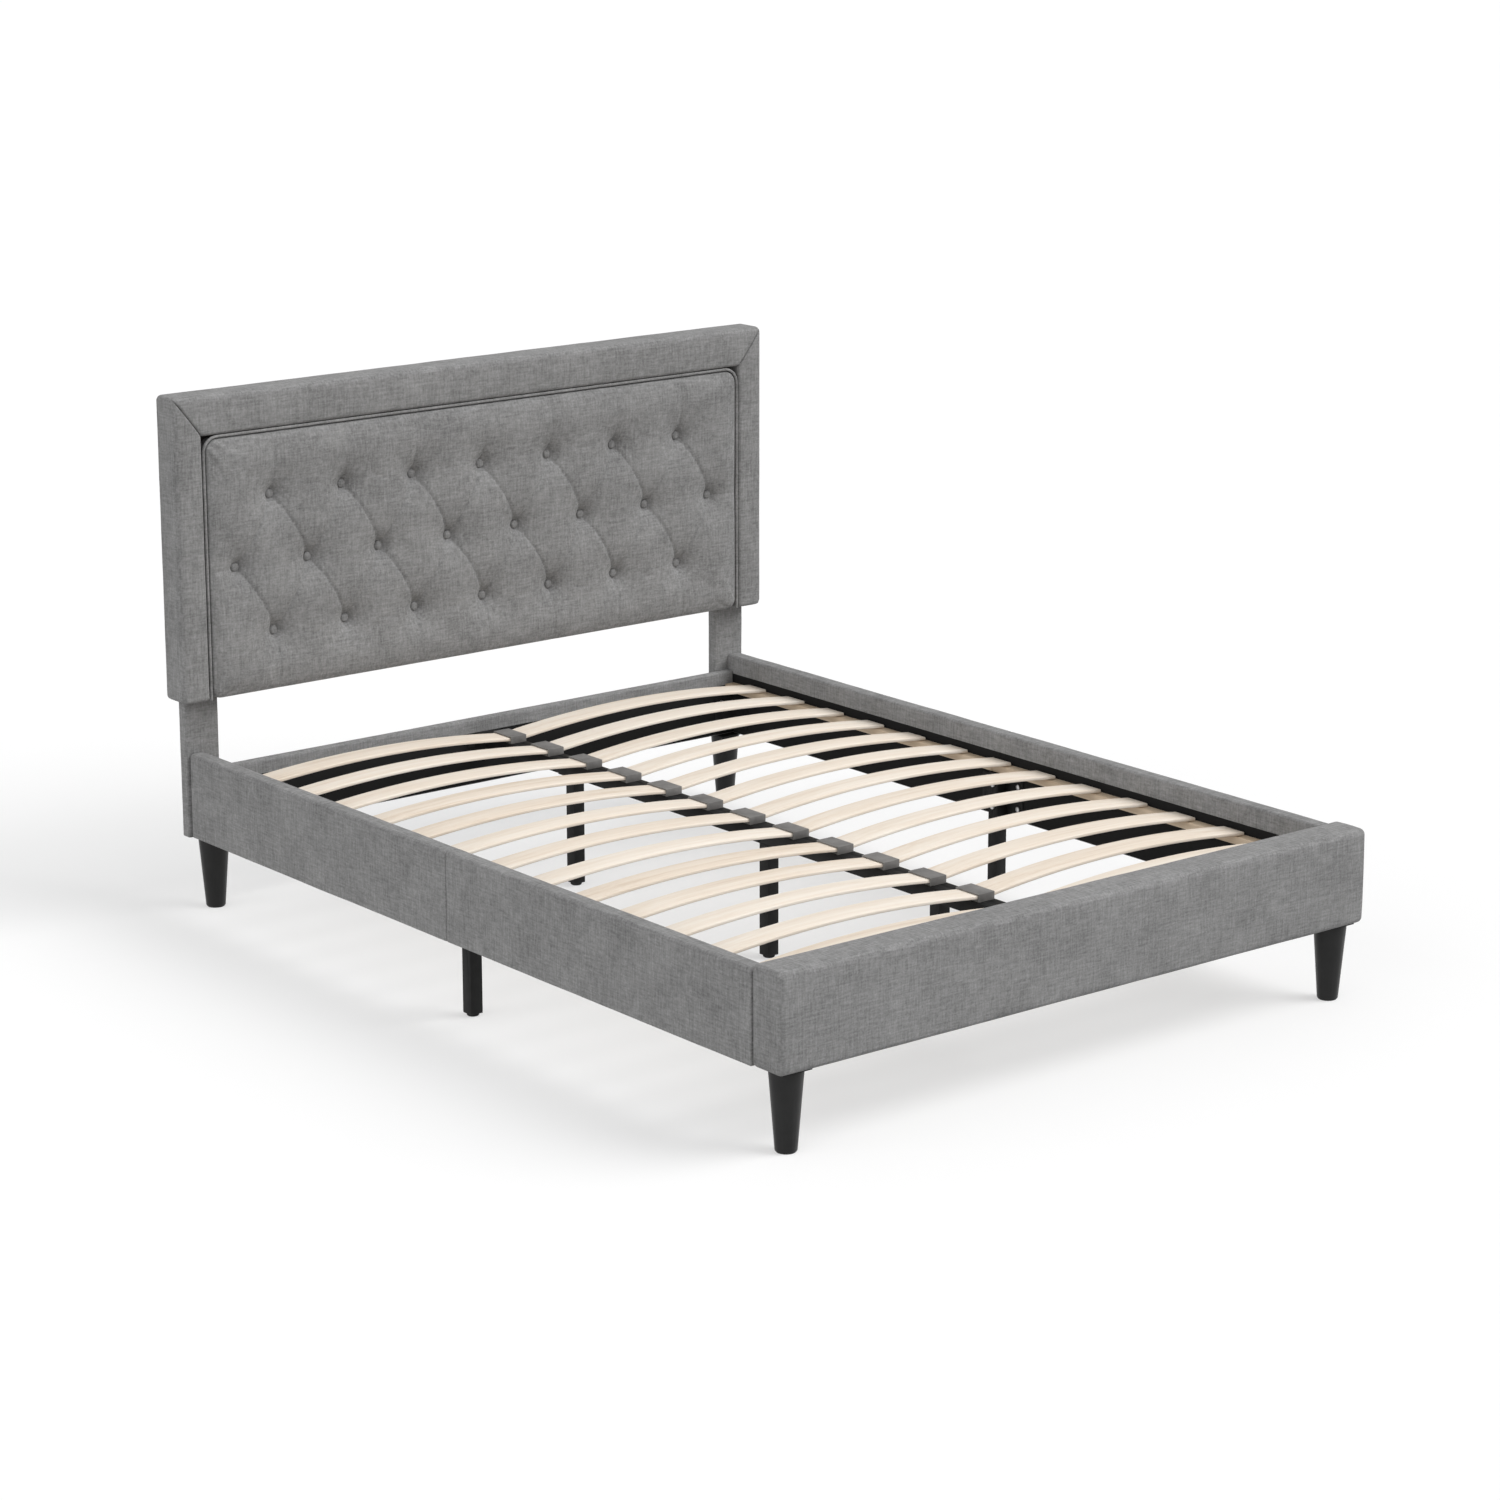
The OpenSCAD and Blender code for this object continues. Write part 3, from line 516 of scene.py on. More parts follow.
def pleat_lines():
    """Pleats as (start, end, strength, leaning, open end), between buttons and to the edges."""
    lines = []
    places = button_places()
    for a in places:
        for b in places:
            across, up = b - a
            if abs(up - ROW_PITCH) < 1 * MM and abs(abs(across) - BUTTON_PITCH / 2) < 1 * MM:
                leaning = b[0] < a[0]
                lines.append((a, b, LEANING if leaning else CROSSING, leaning, False))
    for x, z in places:
        if z > MID_ROW + ROW_PITCH / 2:
            lines.append((np.array([x, z]), np.array([x, panel_high.z]), UPRIGHT, False, True))
        if z < MID_ROW - ROW_PITCH / 2:
            lines.append((np.array([x, z]), np.array([x, panel_low.z]), UPRIGHT, False, True))
    for side in (-1, 1):
        end = np.array([side * BUTTON_PITCH * (BUTTONS_ACROSS - 1) / 2, MID_ROW])
        lines.append((end, np.array([side * panel_high.x, MID_ROW]), LEVEL, False, True))
    return lines


def from_line(x, z, a, b, bow=0.0):
    """Distance of points from a bowed line, signed by side, and how far along it they are."""
    way = b - a
    length = math.hypot(*way)
    along = np.clip(((x - a[0]) * way[0] + (z - a[1]) * way[1]) / (way @ way), 0, 1)
    off = np.hypot(x - a[0] - along * way[0], z - a[1] - along * way[1])
    side = np.where((x - a[0]) * way[1] - (z - a[1]) * way[0] < 0, -1, 1)
    return side * off - bow * np.sin(math.pi * along), along


def tuft_depth(x, z, crease):
    """How far the cover lies behind the crests. crease is the width of a pleat's crease."""
    depth_at_button = DIMPLE_Y - CREST_Y
    total = np.zeros_like(x)
    for bx, bz in button_places():
        away = np.maximum(np.hypot(x - bx, z - bz) - BUTTON_D * 0.42, 0)
        share = 0.6 * np.exp(-away / STEEP_FALL) + 0.4 * np.exp(-away / GENTLE_FALL)
        total += (depth_at_button * share) ** SUM_POWER
    for a, b, strength, _, open_end in pleat_lines():
        signed, along = from_line(x, z, a, b)
        middle = (1 - along) if open_end else np.abs(1 - 2 * along)
        deep = strength * (PLEAT_SAG + PLEAT_SAG_MORE * middle ** 1.6)
        total += (deep * MM * np.exp(-(np.abs(signed) / crease) ** 0.85)) ** SUM_POWER
    return total ** (1 / SUM_POWER)


def round_corners(x, z, low, high, radius_low, radius_high):
    """Turns the square corners of a flat grid into round ones."""
    x, z = x.copy(), z.copy()
    for side_x in (-1, 1):
        for end, radius in ((low, radius_low), (high, radius_high)):
            side_z = -1 if end == low else 1
            cx = side_x * (panel_high.x - radius)
            cz = end - side_z * radius
            dx, dz = (x - cx) * side_x, (z - cz) * side_z
            inside = (dx > 0) & (dz > 0)
            scale = np.where(inside, np.maximum(dx, dz) / np.maximum(np.hypot(dx, dz), 1e-9), 1)
            x, z = cx + dx * scale * side_x, cz + dz * scale * side_z
    return x, z


def stuff(points, faces, pinned):
    """Lets foam push the cover out: Cloth, held where pinned, and no further than STUFF_CAP."""
    mesh = bpy.data.meshes.new("stuffing")
    mesh.from_pydata([tuple(p) for p in points], [], faces)
    sheet = bpy.data.objects.new("stuffing", mesh)
    scene = bpy.context.scene
    scene.collection.objects.link(sheet)
    hold = sheet.vertex_groups.new(name="hold")
    hold.add([int(i) for i in np.nonzero(pinned)[0]], 1.0, "REPLACE")
    cloth = sheet.modifiers.new("Cloth", "CLOTH")
    for setting, value in CLOTH.items():
        setattr(cloth.settings, setting, value)
    cloth.settings.uniform_pressure_force = STUFF_PRESSURE
    cloth.settings.effector_weights.gravity = 0
    cloth.collision_settings.use_self_collision = False
    cloth.point_cache.frame_start, cloth.point_cache.frame_end = 1, STUFF_FRAMES
    for now in range(1, STUFF_FRAMES + 1):
        scene.frame_set(now)
    settled = sheet.evaluated_get(bpy.context.evaluated_depsgraph_get()).to_mesh()
    moved = np.zeros(len(points) * 3)
    settled.vertices.foreach_get("co", moved)
    moved = moved.reshape(-1, 3) - points
    bpy.data.objects.remove(sheet)
    scene.frame_set(1)
    reach = np.linalg.norm(moved, axis=1)
    return points + moved * np.minimum(1, STUFF_CAP / np.maximum(reach, 1e-9))[:, None]


def finer(grid):
    """Twice as many points along both sides of a grid, on smooth curves through the old ones."""
    for axis in (0, 1):
        grid = np.swapaxes(grid, 0, axis)
        out = np.concatenate([2 * grid[:1] - grid[1:2], grid, 2 * grid[-1:] - grid[-2:-1]])
        between = (9 * (out[1:-2] + out[2:-1]) - out[:-3] - out[3:]) / 16
        full = np.zeros((2 * len(grid) - 1, *grid.shape[1:]))
        full[0::2], full[1::2] = grid, between
        grid = np.swapaxes(full, 0, axis)
    return grid


def quads(rows, columns):
    return [(r * columns + c, r * columns + c + 1, (r + 1) * columns + c + 1, (r + 1) * columns + c)
            for r in range(rows - 1) for c in range(columns - 1)]


def grid_rim(rows, columns):
    """The outer points of a grid, in their order round it."""
    last = (rows - 1) * columns
    return (list(range(columns)) + [r * columns + columns - 1 for r in range(1, rows)]
            + [last + c for c in range(columns - 2, -1, -1)]
            + [r * columns for r in range(rows - 2, 0, -1)])


def wall(here, there):
    """Faces between two equal loops of points."""
    count = len(here)
    return [(here[i], here[(i + 1) % count], there[(i + 1) % count], there[i])
            for i in range(count)]


def pleated(grid):
    """Folds the cover in along every pleat, the lower pillow lapping a little over the crease."""
    x, z = grid[..., 0], grid[..., 2]
    for a, b, strength, leaning, open_end in pleat_lines():
        signed, along = from_line(x, z, a, b, PLEAT_BOW if leaning else 0.0)
        away = np.abs(signed)
        ending = 1.15 - along if open_end else (1 - along) * PLEAT_FADE
        fade = np.clip(along * PLEAT_FADE, 0, 1) * np.clip(ending, 0, 1)
        grid[..., 1] += strength * PLEAT_D * np.exp(-(away / PLEAT_W) ** 1.2) * fade
        if leaning:
            lap = np.exp(-away / LAP_REACH) * np.sin(math.pi * along) * (signed < 0)
            grid[..., 1] -= PLEAT_LAP * lap
    return grid


def tufted_panel():
    """The diamond-tufted cover: puffed by simulation, then pleated, then closed over its board."""
    gx, gz = np.meshgrid(spaced(panel_low.x, panel_high.x, PANEL_CELL, PANEL_EDGE_R, 3 * MM),
                         spaced(panel_low.z, panel_high.z, PANEL_CELL, PANEL_EDGE_R, 3 * MM))
    edge = np.minimum(np.minimum(gx - panel_low.x, panel_high.x - gx),
                      np.minimum(gz - panel_low.z, panel_high.z - gz))
    x, z = round_corners(gx, gz, panel_low.z, panel_high.z, 26 * MM, 32 * MM)
    rim = np.clip(edge / RIM_REACH, 0, 1)
    y = (CREST_Y + 4 * MM * (1 - rim) ** 2 + tuck(edge, PANEL_EDGE_R) * 1.2
         + tuft_depth(x, z, TUFT_WIDTH) * np.clip(edge / (6 * MM), 0.3, 1))
    rows, columns = x.shape
    points = np.stack([x, y, z], -1).reshape(-1, 3)
    near = np.min([np.hypot(x - bx, z - bz) for bx, bz in button_places()], axis=0)
    pinned = ((edge < 4 * MM) | (near < BUTTON_D * 0.55)).ravel()
    points = stuff(points, quads(rows, columns), pinned)
    front = pleated(finer(points.reshape(rows, columns, 3)))
    rows, columns = front.shape[:2]
    rim_loop = grid_rim(rows, columns)
    front = front.reshape(-1, 3)
    back = front[rim_loop]
    back[:, 1] = panel_high.y
    back_loop = range(len(front), len(front) + len(rim_loop))
    faces = quads(rows, columns) + wall(rim_loop, back_loop) + [tuple(back_loop)]
    piece = new_piece("tufted_panel_cover", np.concatenate([front, back]), faces, LINEN,
                      "linen_fabric", "tufted_panel", crease=70.0)


def border_section(width, lap=10 * MM):
    """Round front edges, foam as deep as the board's front, and the cloth lapped to the back."""
    front = panel_high.y - panel_low.y
    return [(0, 0, 13 * MM), (width, 0, 9 * MM), (width, front, 0), (lap, front, 0),
            (lap, border_depth, 0), (0, border_depth, 2 * MM)]


def soft_corner(x, z):
    """Rounds the headboard's outer corners, seen from the front."""
    radius = OUTER_CORNER_R
    cx, side_x = math.copysign(board_x - radius, x), math.copysign(1, x)
    for end, side_z in ((headboard_low, -1), (headboard_top, 1)):
        cz = end - side_z * radius
        dx, dz = (x - cx) * side_x, (z - cz) * side_z
        if dx > 0 and dz > 0:
            scale = max(dx, dz) / math.hypot(dx, dz)
            return cx + dx * scale * side_x, cz + dz * scale * side_z
    return x, z


def crown(u, width, rise):
    """Soft crown of a padded strip between its two edges."""
    return rise * math.sin(math.pi * min(max(u / width, 0), 1)) ** 0.8


def strip_depth(u, v, width, from_mitre):
    """Depth of a strip's skin, crowned and tucked in at the mitre, and how far forward it is."""
    front = max(0.0, 1 - v / BORDER_FRONT)
    y = (side_low.y + v + tuck(from_mitre, MITRE_TUCK) * front
         - crown(u, width, BORDER_CROWN) * front)
    return y, front


def border_strip(node, width, stations, place):
    points, faces = wrapped_run(border_section(width), 9 * MM, stations, place, lambda u, v: 0.0)
    points = rumple(points, faces, 0.8 * MM, 9.0)
    piece = new_piece(node + "_cover", points, faces, LINEN, "linen_fabric", node, crease=50.0)


def side_border(side):
    slope = (headboard_top - top_border_low) / side_width
    gap = 0.6 * MM

    def place(u, v, s):
        length = headboard_top - gap - slope * u - headboard_low
        z = headboard_low + s * length
        y, front = strip_depth(u, v, side_width, (1 - s) * length * 0.7)
        y += tuck(z - headboard_low, 8 * MM) * front
        x, z = soft_corner(-board_x + u, z)
        return (-side * x, y, z)

    border_strip("border_right" if side > 0 else "border_left", side_width,
                 spaced(0.0, 1.0, 0.03, 0.03, 0.004), place)


def top_border():
    height = headboard_top - top_border_low
    slope = side_width / height

    def place(u, v, s):
        half = board_x - slope * u
        y = strip_depth(u, v, height, min(s, 1 - s) * 2 * half * 0.7)[0]
        x, z = soft_corner(-half + s * 2 * half, headboard_top - u)
        return (x, y, z)

    border_strip("border_top", height, spaced(0.0, 1.0, 0.011, 0.012, 0.0015), place)


def welt_tree(sizes):
    """A covered cord along a path with rounded corners."""
    tree, size = open_tree("welt", sizes)
    path = step(tree, "GeometryNodeMeshToCurve", {"Mesh": size["Geometry"]})
    bent = step(tree, "GeometryNodeFilletCurve",
                {"Curve": path.outputs[0], "Radius": size["Corner"], "Count": 14}, mode="POLY")
    even = step(tree, "GeometryNodeResampleCurve",
                {"Curve": bent.outputs[0], "Length": size["Step"]}, mode="LENGTH")
    round_ = step(tree, "GeometryNodeCurvePrimitiveCircle",
                  {"Resolution": 14, "Radius": size["Radius"]})
    cord = step(tree, "GeometryNodeCurveToMesh", {
        "Curve": even.outputs[0], "Profile Curve": round_.outputs[0], "Fill Caps": True})
    close_tree(tree, cord.outputs[0], LINEN)
    return tree


def welt():
    low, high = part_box("welt_cord")
    radius = (high.y - low.y) / 2
    y = (low.y + high.y) / 2
    x, z = high.x - radius, high.z - radius
    base = bpy.data.meshes.new("welt path")
    base.from_pydata([(-x, y, low.z), (-x, y, z), (x, y, z), (x, y, low.z)],
                     [(0, 1), (1, 2), (2, 3)], [])
    sizes = {"Corner": 36 * MM, "Step": 6 * MM, "Radius": radius}
    piece = grow("welt", welt_tree(sizes), sizes, base, LINEN, "linen_fabric", "welt_cord",
                 crease=60.0)


def button_tree(sizes):
    """Buttons in three rows, a full row between two that are one shorter."""
    tree, size = open_tree("tuft buttons", sizes)
    rows = step(tree, "GeometryNodeJoinGeometry")
    for row in (-1, 0, 1):
        count = calc(tree, "SUBTRACT", size["Across"], float(abs(row)))
        half = calc(tree, "MULTIPLY", calc(tree, "SUBTRACT", count, 1.0), -0.5)
        start = calc(tree, "MULTIPLY", half, size["Pitch"])
        rise = calc(tree, "MULTIPLY", size["Row pitch"], float(row))
        height = calc(tree, "ADD", size["Middle row"], rise)
        line = step(tree, "GeometryNodeMeshLine", {
            "Count": count, "Start Location": vec(tree, start, size["Depth"], height),
            "Offset": vec(tree, size["Pitch"], 0.0, 0.0)}, mode="OFFSET")
        tree.links.new(line.outputs[0], rows.inputs[0])
    turn = step(tree, "FunctionNodeRandomValue",
                {"Min": (0.0, -0.6, 0.0), "Max": (0.0, 0.6, 0.0), "Seed": 3},
                data_type="FLOAT_VECTOR")
    laid = step(tree, "GeometryNodeInstanceOnPoints", {
        "Points": rows.outputs[0], "Instance": size["Geometry"], "Rotation": turn.outputs[0]})
    close_tree(tree, laid.outputs[0], LINEN)
    return tree


def button_mesh():
    """One covered button: a dome over a disc, with the cloth gathered under its edge."""
    radius = BUTTON_D / 2
    profile = [(0.0, -7.4), (0.28, -7.25), (0.55, -6.7), (0.78, -5.7), (0.93, -4.4), (1.0, -2.8),
               (0.97, -1.4), (0.86, -0.2), (0.7, 1.2), (0.0, 2.0)]
    spokes = 32
    points, faces = [(0.0, profile[0][1] * MM, 0.0)], []
    for share, back in profile[1:-1]:
        for k in range(spokes):
            angle = 2 * math.pi * k / spokes
            gather = 1 + (0.02 * math.cos(angle * 11) if back > -4 else 0.0)
            points.append((radius * share * gather * math.cos(angle), back * MM,
                           radius * share * gather * math.sin(angle)))
    points.append((0.0, profile[-1][1] * MM, 0.0))
    for k in range(spokes):
        after = (k + 1) % spokes
        faces.append((0, 1 + k, 1 + after))
        for ring in range(len(profile) - 3):
            a = 1 + ring * spokes
            faces.append((a + k, a + spokes + k, a + spokes + after, a + after))
        last = 1 + (len(profile) - 3) * spokes
        faces.append((last + k, len(points) - 1, last + after))
    mesh = bpy.data.meshes.new("button")
    mesh.from_pydata(points, [], faces)
    face_outward(mesh)
    return mesh


def buttons():
    sizes = {"Across": float(BUTTONS_ACROSS), "Pitch": BUTTON_PITCH, "Row pitch": ROW_PITCH,
             "Middle row": MID_ROW, "Depth": BUTTON_Y}
    piece = grow("covered_buttons", button_tree(sizes), sizes, button_mesh(), LINEN,
                 "linen_fabric", "tuft_buttons", crease=60.0)


def stapled_cloth(name, low, high, axis, finish, slot, node=None, ripple=0.5 * MM):
    """A thin cloth stretched flat and stapled, as a closed sheet with a slight ripple."""
    others = [k for k in range(3) if k != axis]
    u = spaced(low[others[0]], high[others[0]], 25 * MM, 6 * MM, 3 * MM)
    v = spaced(low[others[1]], high[others[1]], 25 * MM, 6 * MM, 3 * MM)
    points, faces = [], []
    for layer in (0, 1):
        for b in v:
            for a in u:
                p = [0.0] * 3
                p[axis] = (low, high)[layer][axis]
                p[others[0]], p[others[1]] = a, b
                p[axis] += ripple * noise.noise(Vector(p) * 14) * (1 if layer else 0.3)
                points.append(p)
    size = len(u) * len(v)
    for a, b, c, d in quads(len(v), len(u)):
        faces += [(a, b, c, d), (size + a, size + d, size + c, size + b)]
    loop = grid_rim(len(v), len(u))
    faces += wall(loop, [size + k for k in loop])
    piece = new_piece(name, points, faces, finish, slot, *([node] if node else []), crease=50.0)


def staple_tree(sizes):
    """Staples in a row along a path."""
    tree, size = open_tree("staples", sizes)
    path = step(tree, "GeometryNodeMeshToCurve", {"Mesh": size["Geometry"]})
    spots = step(tree, "GeometryNodeCurveToPoints",
                 {"Curve": path.outputs[0], "Length": size["Spacing"]}, mode="LENGTH")
    wire = step(tree, "GeometryNodeMeshCube",
                {"Size": vec(tree, size["Wire"], size["Wire"], size["Crown"])})
    laid = step(tree, "GeometryNodeInstanceOnPoints", {
        "Points": spots.outputs[0], "Instance": wire.outputs[0],
        "Rotation": spots.outputs["Rotation"]})
    close_tree(tree, laid.outputs[0], ZINC)
    return tree


def back_of_headboard():
    low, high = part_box("headboard_back_cover")
    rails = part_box("headboard_rails")
    sheet_low = Vector((low.x, rails[1].y, low.z))
    stapled_cloth("dust_cover", sheet_low, high, ALONG_Y, DUST_CLOTH, "dust_cover",
                  "headboard_back_cover")
    inset = 12 * MM
    y = high.y + 0.4 * MM
    x, z0, z1 = high.x - inset, low.z + inset, high.z - inset
    base = bpy.data.meshes.new("staple path")
    base.from_pydata([(-x, y, z0), (x, y, z0), (x, y, z1), (-x, y, z1)],
                     [(0, 1), (1, 2), (2, 3), (3, 0)], [])
    sizes = {"Spacing": 46 * MM, "Wire": 1.0 * MM, "Crown": 10 * MM}
    grow("dust_cover_staples", staple_tree(sizes), sizes, base, ZINC, "zinc")
    under_high = Vector((high.x, rails[1].y, low.z + 2 * MM))
    stapled_cloth("dust_cover_turn_in", low, under_high, ALONG_Z, DUST_CLOTH, "dust_cover",
                  ripple=0.2 * MM)


# ---------------------------------------------------------------- rails

COVER_T = 2 * MM


def side_cover(side, end):
    """One half of a side rail's cover: a single piece of linen round the board and its foam."""
    name = f"side_cover_{'right' if side > 0 else 'left'}_{end}"
    low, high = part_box("side_cover_right_" + end)
    board_low, board_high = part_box("side_boards_right")
    edge_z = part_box("rail_linings")[1].z + 0.3 * MM
    section = [(board_low.x, low.z, 0), (high.x, low.z, 3 * MM), (high.x, high.z, 9 * MM),
               (low.x, high.z, 7 * MM), (low.x, edge_z, 0), (board_low.x, edge_z, 0),
               (board_low.x, board_high.z, 0), (board_high.x, board_high.z, 0),
               (board_high.x, board_low.z, 0), (board_low.x, board_low.z, 0)]
    stations = spaced(low.y, high.y, 22 * MM, 6 * MM, 1 * MM)
    tall = high.z - low.z
    foam_x, foam_z = board_high.x + 4 * MM, board_high.z + 4 * MM

    def place(u, v, y):
        level = min(max((v - low.z) / tall, 0), 1)
        swell = 1.6 * MM * math.sin(math.pi * level) if u > foam_x else 0.0
        ease = min(1.0, (y - low.y) / (60 * MM), (high.y - y) / (60 * MM))
        return (side * (u + swell * ease), y, v)

    def soft(u, v):
        return 5 * MM if u > foam_x or v > foam_z else 0.4 * MM

    points, faces = wrapped_run(section, 14 * MM, stations, place, soft, (4 * MM, 4 * MM))
    points = rumple(points, faces, 0.9 * MM, 8.0,
                    lambda p: 1.0 if abs(p.x) > foam_x or p.z > foam_z else 0.1)
    piece = new_piece(name + "_linen", points, faces, LINEN, "linen_fabric", name, crease=50.0)


def head_rail():
    low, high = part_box("head_rail_cover")
    edge_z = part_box("centre_rail_head")[1].z
    front_y, back_y = low.y + 2 * COVER_T, high.y - COVER_T
    floor_z, lip_z = low.z + COVER_T, high.z - 3 * COVER_T
    section = [(low.y, edge_z, 0), (low.y, high.z, 6 * MM), (high.y, high.z, 5 * MM),
               (high.y, low.z, 2 * MM), (front_y, low.z, 0), (front_y, floor_z, 0),
               (back_y, floor_z, 0), (back_y, lip_z, 0), (front_y, lip_z, 0), (front_y, edge_z, 0)]
    stations = spaced(low.x, high.x, 22 * MM, 6 * MM, 1 * MM)
    points, faces = wrapped_run(section, 14 * MM, stations, lambda u, v, x: (x, u, v),
                                lambda u, v: 1.0 * MM, (3 * MM, 3 * MM))
    points = rumple(points, faces, 0.5 * MM, 8.0)
    piece = new_piece("head_rail_linen", points, faces, LINEN, "linen_fabric", "head_rail_cover",
                      crease=50.0)


def post_cover(side, nodes):
    """The linen sleeve of a post, sewn closed at its back, with the bolt heads standing out."""
    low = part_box("post_right")[0]
    cover_low, cover_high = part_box("post_covers")
    inner_x, back_y = low.x - COVER_T, cover_high.y - 1.2 * MM
    section = [(inner_x, cover_low.y, 4 * MM), (cover_high.x, cover_low.y, 5 * MM),
               (cover_high.x, back_y, 4 * MM), (inner_x, back_y, 4 * MM)]
    stations = spaced(cover_low.z, cover_high.z, 20 * MM, 5 * MM, 1 * MM)
    points, faces = wrapped_run(section, 10 * MM, stations, lambda u, v, z: (side * u, v, z),
                                lambda u, v: 3 * MM, (3 * MM, 0.5 * MM))
    points = rumple(points, faces, 0.6 * MM, 12.0)
    name = "post_cover_right" if side > 0 else "post_cover_left"
    piece = new_piece(name, points, faces, LINEN, "linen_fabric", *nodes, crease=50.0)


def foot_panel():
    """The padded foot panel: a soft box with round corners."""
    low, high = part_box("foot_cover")
    radius = 13 * MM
    axes = [spaced(low[k], high[k], 18 * MM, radius, 2.6 * MM) for k in range(3)]
    index, points, faces = {}, [], []

    def spot(i, j, k):
        key = (i, j, k)
        if key not in index:
            index[key] = len(points)
            p = np.array([axes[0][i], axes[1][j], axes[2][k]])
            core = np.clip(p, np.array(low) + radius, np.array(high) - radius)
            away = p - core
            length = np.linalg.norm(away)
            points.append(core + away / length * radius if length > 0 else p)
        return index[key]

    last = [len(a) - 1 for a in axes]
    for fixed in range(3):
        a, b = [k for k in range(3) if k != fixed]
        for end in (0, last[fixed]):
            for i in range(last[a]):
                for j in range(last[b]):
                    quad = []
                    for da, db in ((0, 0), (1, 0), (1, 1), (0, 1)):
                        key = [0, 0, 0]
                        key[fixed], key[a], key[b] = end, i + da, j + db
                        quad.append(spot(*key))
                    faces.append(tuple(quad))
    points = np.array(points)
    level = np.clip((points[:, 2] - low.z) / (high.z - low.z), 0, 1)
    front = points[:, 1] < low.y + radius
    points[front, 1] -= 2.2 * MM * np.sin(math.pi * level[front]) ** 0.8
    top = points[:, 2] > high.z - radius
    deep = np.clip((points[:, 1] - low.y) / (high.y - low.y), 0, 1)
    points[top, 2] += 1.5 * MM * np.sin(math.pi * deep[top])
    points = rumple(points, faces, 1.0 * MM, 7.0, lambda p: 0.2 if p.y > high.y - 3 * MM else 1.0)
    piece = new_piece("foot_panel_linen", points, faces, LINEN, "linen_fabric", "foot_cover",
                      crease=50.0)


def linings():
    """Black lining inside the side rails and on the head rail's front."""
    low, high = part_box("rail_linings")
    rail_in, board_in = high.x - 2 * MM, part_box("side_boards_right")[0].x
    node = "rail_linings"
    for side, hand in ((-1, "left"), (1, "right")):
        for end in ("foot", "head"):
            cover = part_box("side_cover_right_" + end)
            xs = sorted((side * rail_in, side * board_in))
            stapled_cloth(f"lining_{hand}_{end}", Vector((xs[0], cover[0].y, low.z)),
                          Vector((xs[1], cover[1].y, high.z)), ALONG_X, LINING, "black_lining",
                          node, 0.2 * MM)
            node = None
    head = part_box("head_rail_board")
    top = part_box("centre_rail_head")[1].z - 0.3 * MM
    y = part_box("head_rail_cover")[0].y + 2 * MM
    stapled_cloth("lining_head_rail", Vector((head[0].x, y, low.z)),
                  Vector((head[1].x, y + 2 * MM, top)), ALONG_Y, LINING, "black_lining",
                  None, 0.2 * MM)


# ---------------------------------------------------------------- hardware and hidden frame

def hardware():
    """Metal, plastic and wood pieces keep their CAD shape, with their edges rounded off."""
    softened = {
        (CAP_PLASTIC, "grey_plastic"): {"slat_caps": 1.2},
        (POWDER_COAT, "black_steel"): {
            "centre_rail_foot": 0.8, "centre_rail_head": 0.8, "centre_brackets": 0.6,
            "centre_legs": 0.5, "side_legs": 0.5, "leg_plates": 0.6, "corner_brackets": 0.5,
            "joint_plates": 0.6},
        (LACQUER, "black_lacquer"): {"corner_legs": 2.0},
        (LEDGER, "birch"): {"ledger_left": 1.5, "ledger_right": 1.5},
        (FOOT_PLASTIC, "black_plastic"): {"leg_plugs": 0.4, "leg_pads": 0.4},
        (ZINC, "zinc"): {"frame_bolts": 0.5, "ledger_screws": 0.4}}
    for (finish, slot), widths in softened.items():
        for node, width in widths.items():
            edge_softened(node, node + "_finished", finish, slot, width * MM)
    for node in ("centre_glide_head", "centre_glide_mid", "centre_glide_foot", "side_glide_left",
                 "side_glide_right"):
        edge_softened(node, node + "_finished", FOOT_PLASTIC, "black_plastic", 0.6 * MM, body=node)
    # The headboard board takes the near-black plywood finish, painted shade in the top corner gaps.
    kept = {"headboard_rails": PINE_ACROSS, "headboard_board": PLYWOOD_AS_PAINTED_SHADE, "post_left": PINE_UP,
            "post_right": PINE_UP, "head_rail_board": PINE_ACROSS, "side_boards_left": PINE,
            "side_boards_right": PINE, "foot_boards": PINE_ACROSS, "foot_blocks": PINE_ACROSS,
            "centre_sleeve": POWDER_COAT, "leg_bolts": ZINC}
    for node, finish in kept.items():
        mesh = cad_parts[node].data
        mesh.materials.clear()
        mesh.materials.append(finish)


# ---------------------------------------------------------------- stage

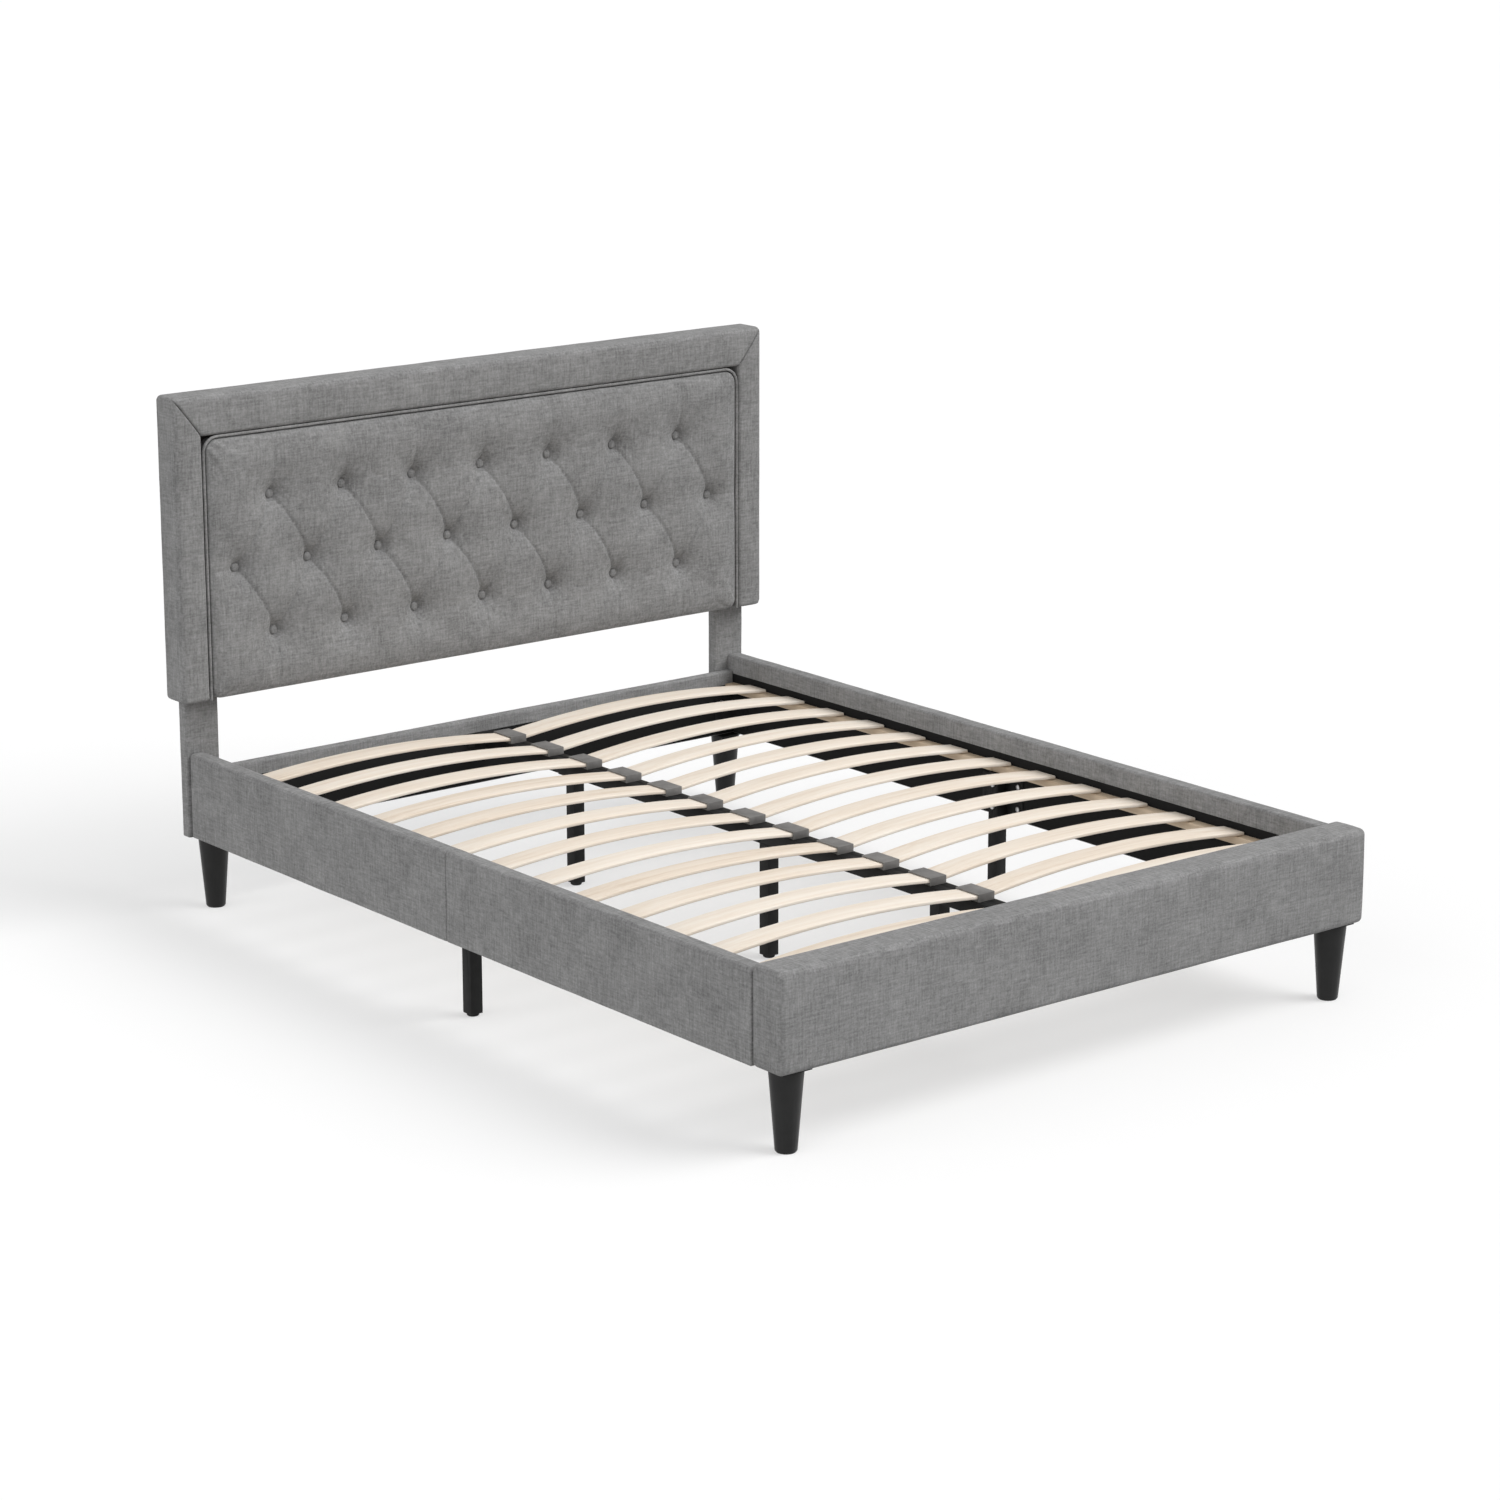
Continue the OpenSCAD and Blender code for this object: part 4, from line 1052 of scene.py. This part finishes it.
def stage():
    """Pale floor and white backdrop, a broad soft light from the upper right, a weaker one left."""
    white = (1, 1, 1, 1)
    bpy.ops.mesh.primitive_plane_add(size=60, location=(0, 0, -0.2 * MM))
    floor = bpy.context.object
    floor.name = "floor"
    paint = blank_finish("pale floor", 0.95, Base_Color=(0.46, 0.46, 0.46, 1),
                         Emission_Color=white, Emission_Strength=0.49, Specular_IOR_Level=0.0)[0]
    floor.data.materials.append(paint)
    bpy.ops.mesh.primitive_cylinder_add(vertices=64, radius=29, depth=40, end_fill_type="NOTHING",
                                        location=(0, 0, 19))
    backdrop = bpy.context.object
    backdrop.name = "backdrop"
    glow = blank_finish("white backdrop", 1.0, Base_Color=(0, 0, 0, 1), Specular_IOR_Level=0.0,
                        Emission_Color=white, Emission_Strength=1.0)[0]
    backdrop.data.materials.append(glow)
    for piece in (floor, backdrop):
        piece.visible_diffuse = False
    backdrop.visible_glossy = backdrop.visible_shadow = False
    world = bpy.context.scene.world or bpy.data.worlds.new("studio")
    bpy.context.scene.world = world
    world.use_nodes = True
    background = world.node_tree.nodes["Background"]
    background.inputs["Color"].default_value = white
    background.inputs["Strength"].default_value = 0.5
    for name, way, strength, spread in (("key", (0.55, -0.48, 0.68), 2.45, 42),
                                        ("fill", (-0.96, -0.08, 0.28), 1.25, 70)):
        lamp = bpy.data.lights.new(name, "SUN")
        lamp.energy, lamp.angle = strength, math.radians(spread)
        light = bpy.data.objects.new(name, lamp)
        light.rotation_euler = Vector(way).to_track_quat("Z", "Y").to_euler()
        bpy.context.scene.collection.objects.link(light)


def camera():
    azimuth, elevation, distance = math.radians(-38.75), math.radians(14.75), 8.881
    target = Vector((-0.0975, -0.1108, 0.5044))
    back = Vector((math.sin(azimuth) * math.cos(elevation),
                   -math.cos(azimuth) * math.cos(elevation), math.sin(elevation)))
    eye = bpy.data.cameras.new("camera")
    eye.lens, eye.sensor_width = 97.85, 36
    held = bpy.data.objects.new("camera", eye)
    held.location = target + back * distance
    held.rotation_euler = (-back).to_track_quat("-Z", "Y").to_euler()
    bpy.context.scene.collection.objects.link(held)
    bpy.context.scene.camera = held


bpy.context.scene.view_settings.view_transform = "Standard"
camera()
stage()
slats()
tufted_panel()
for each_side in (-1, 1):
    side_border(each_side)
    for each_end in ("foot", "head"):
        side_cover(each_side, each_end)
top_border()
welt()
buttons()
back_of_headboard()
head_rail()
post_cover(-1, ["post_covers"])
post_cover(1, [])
foot_panel()
linings()
hardware()
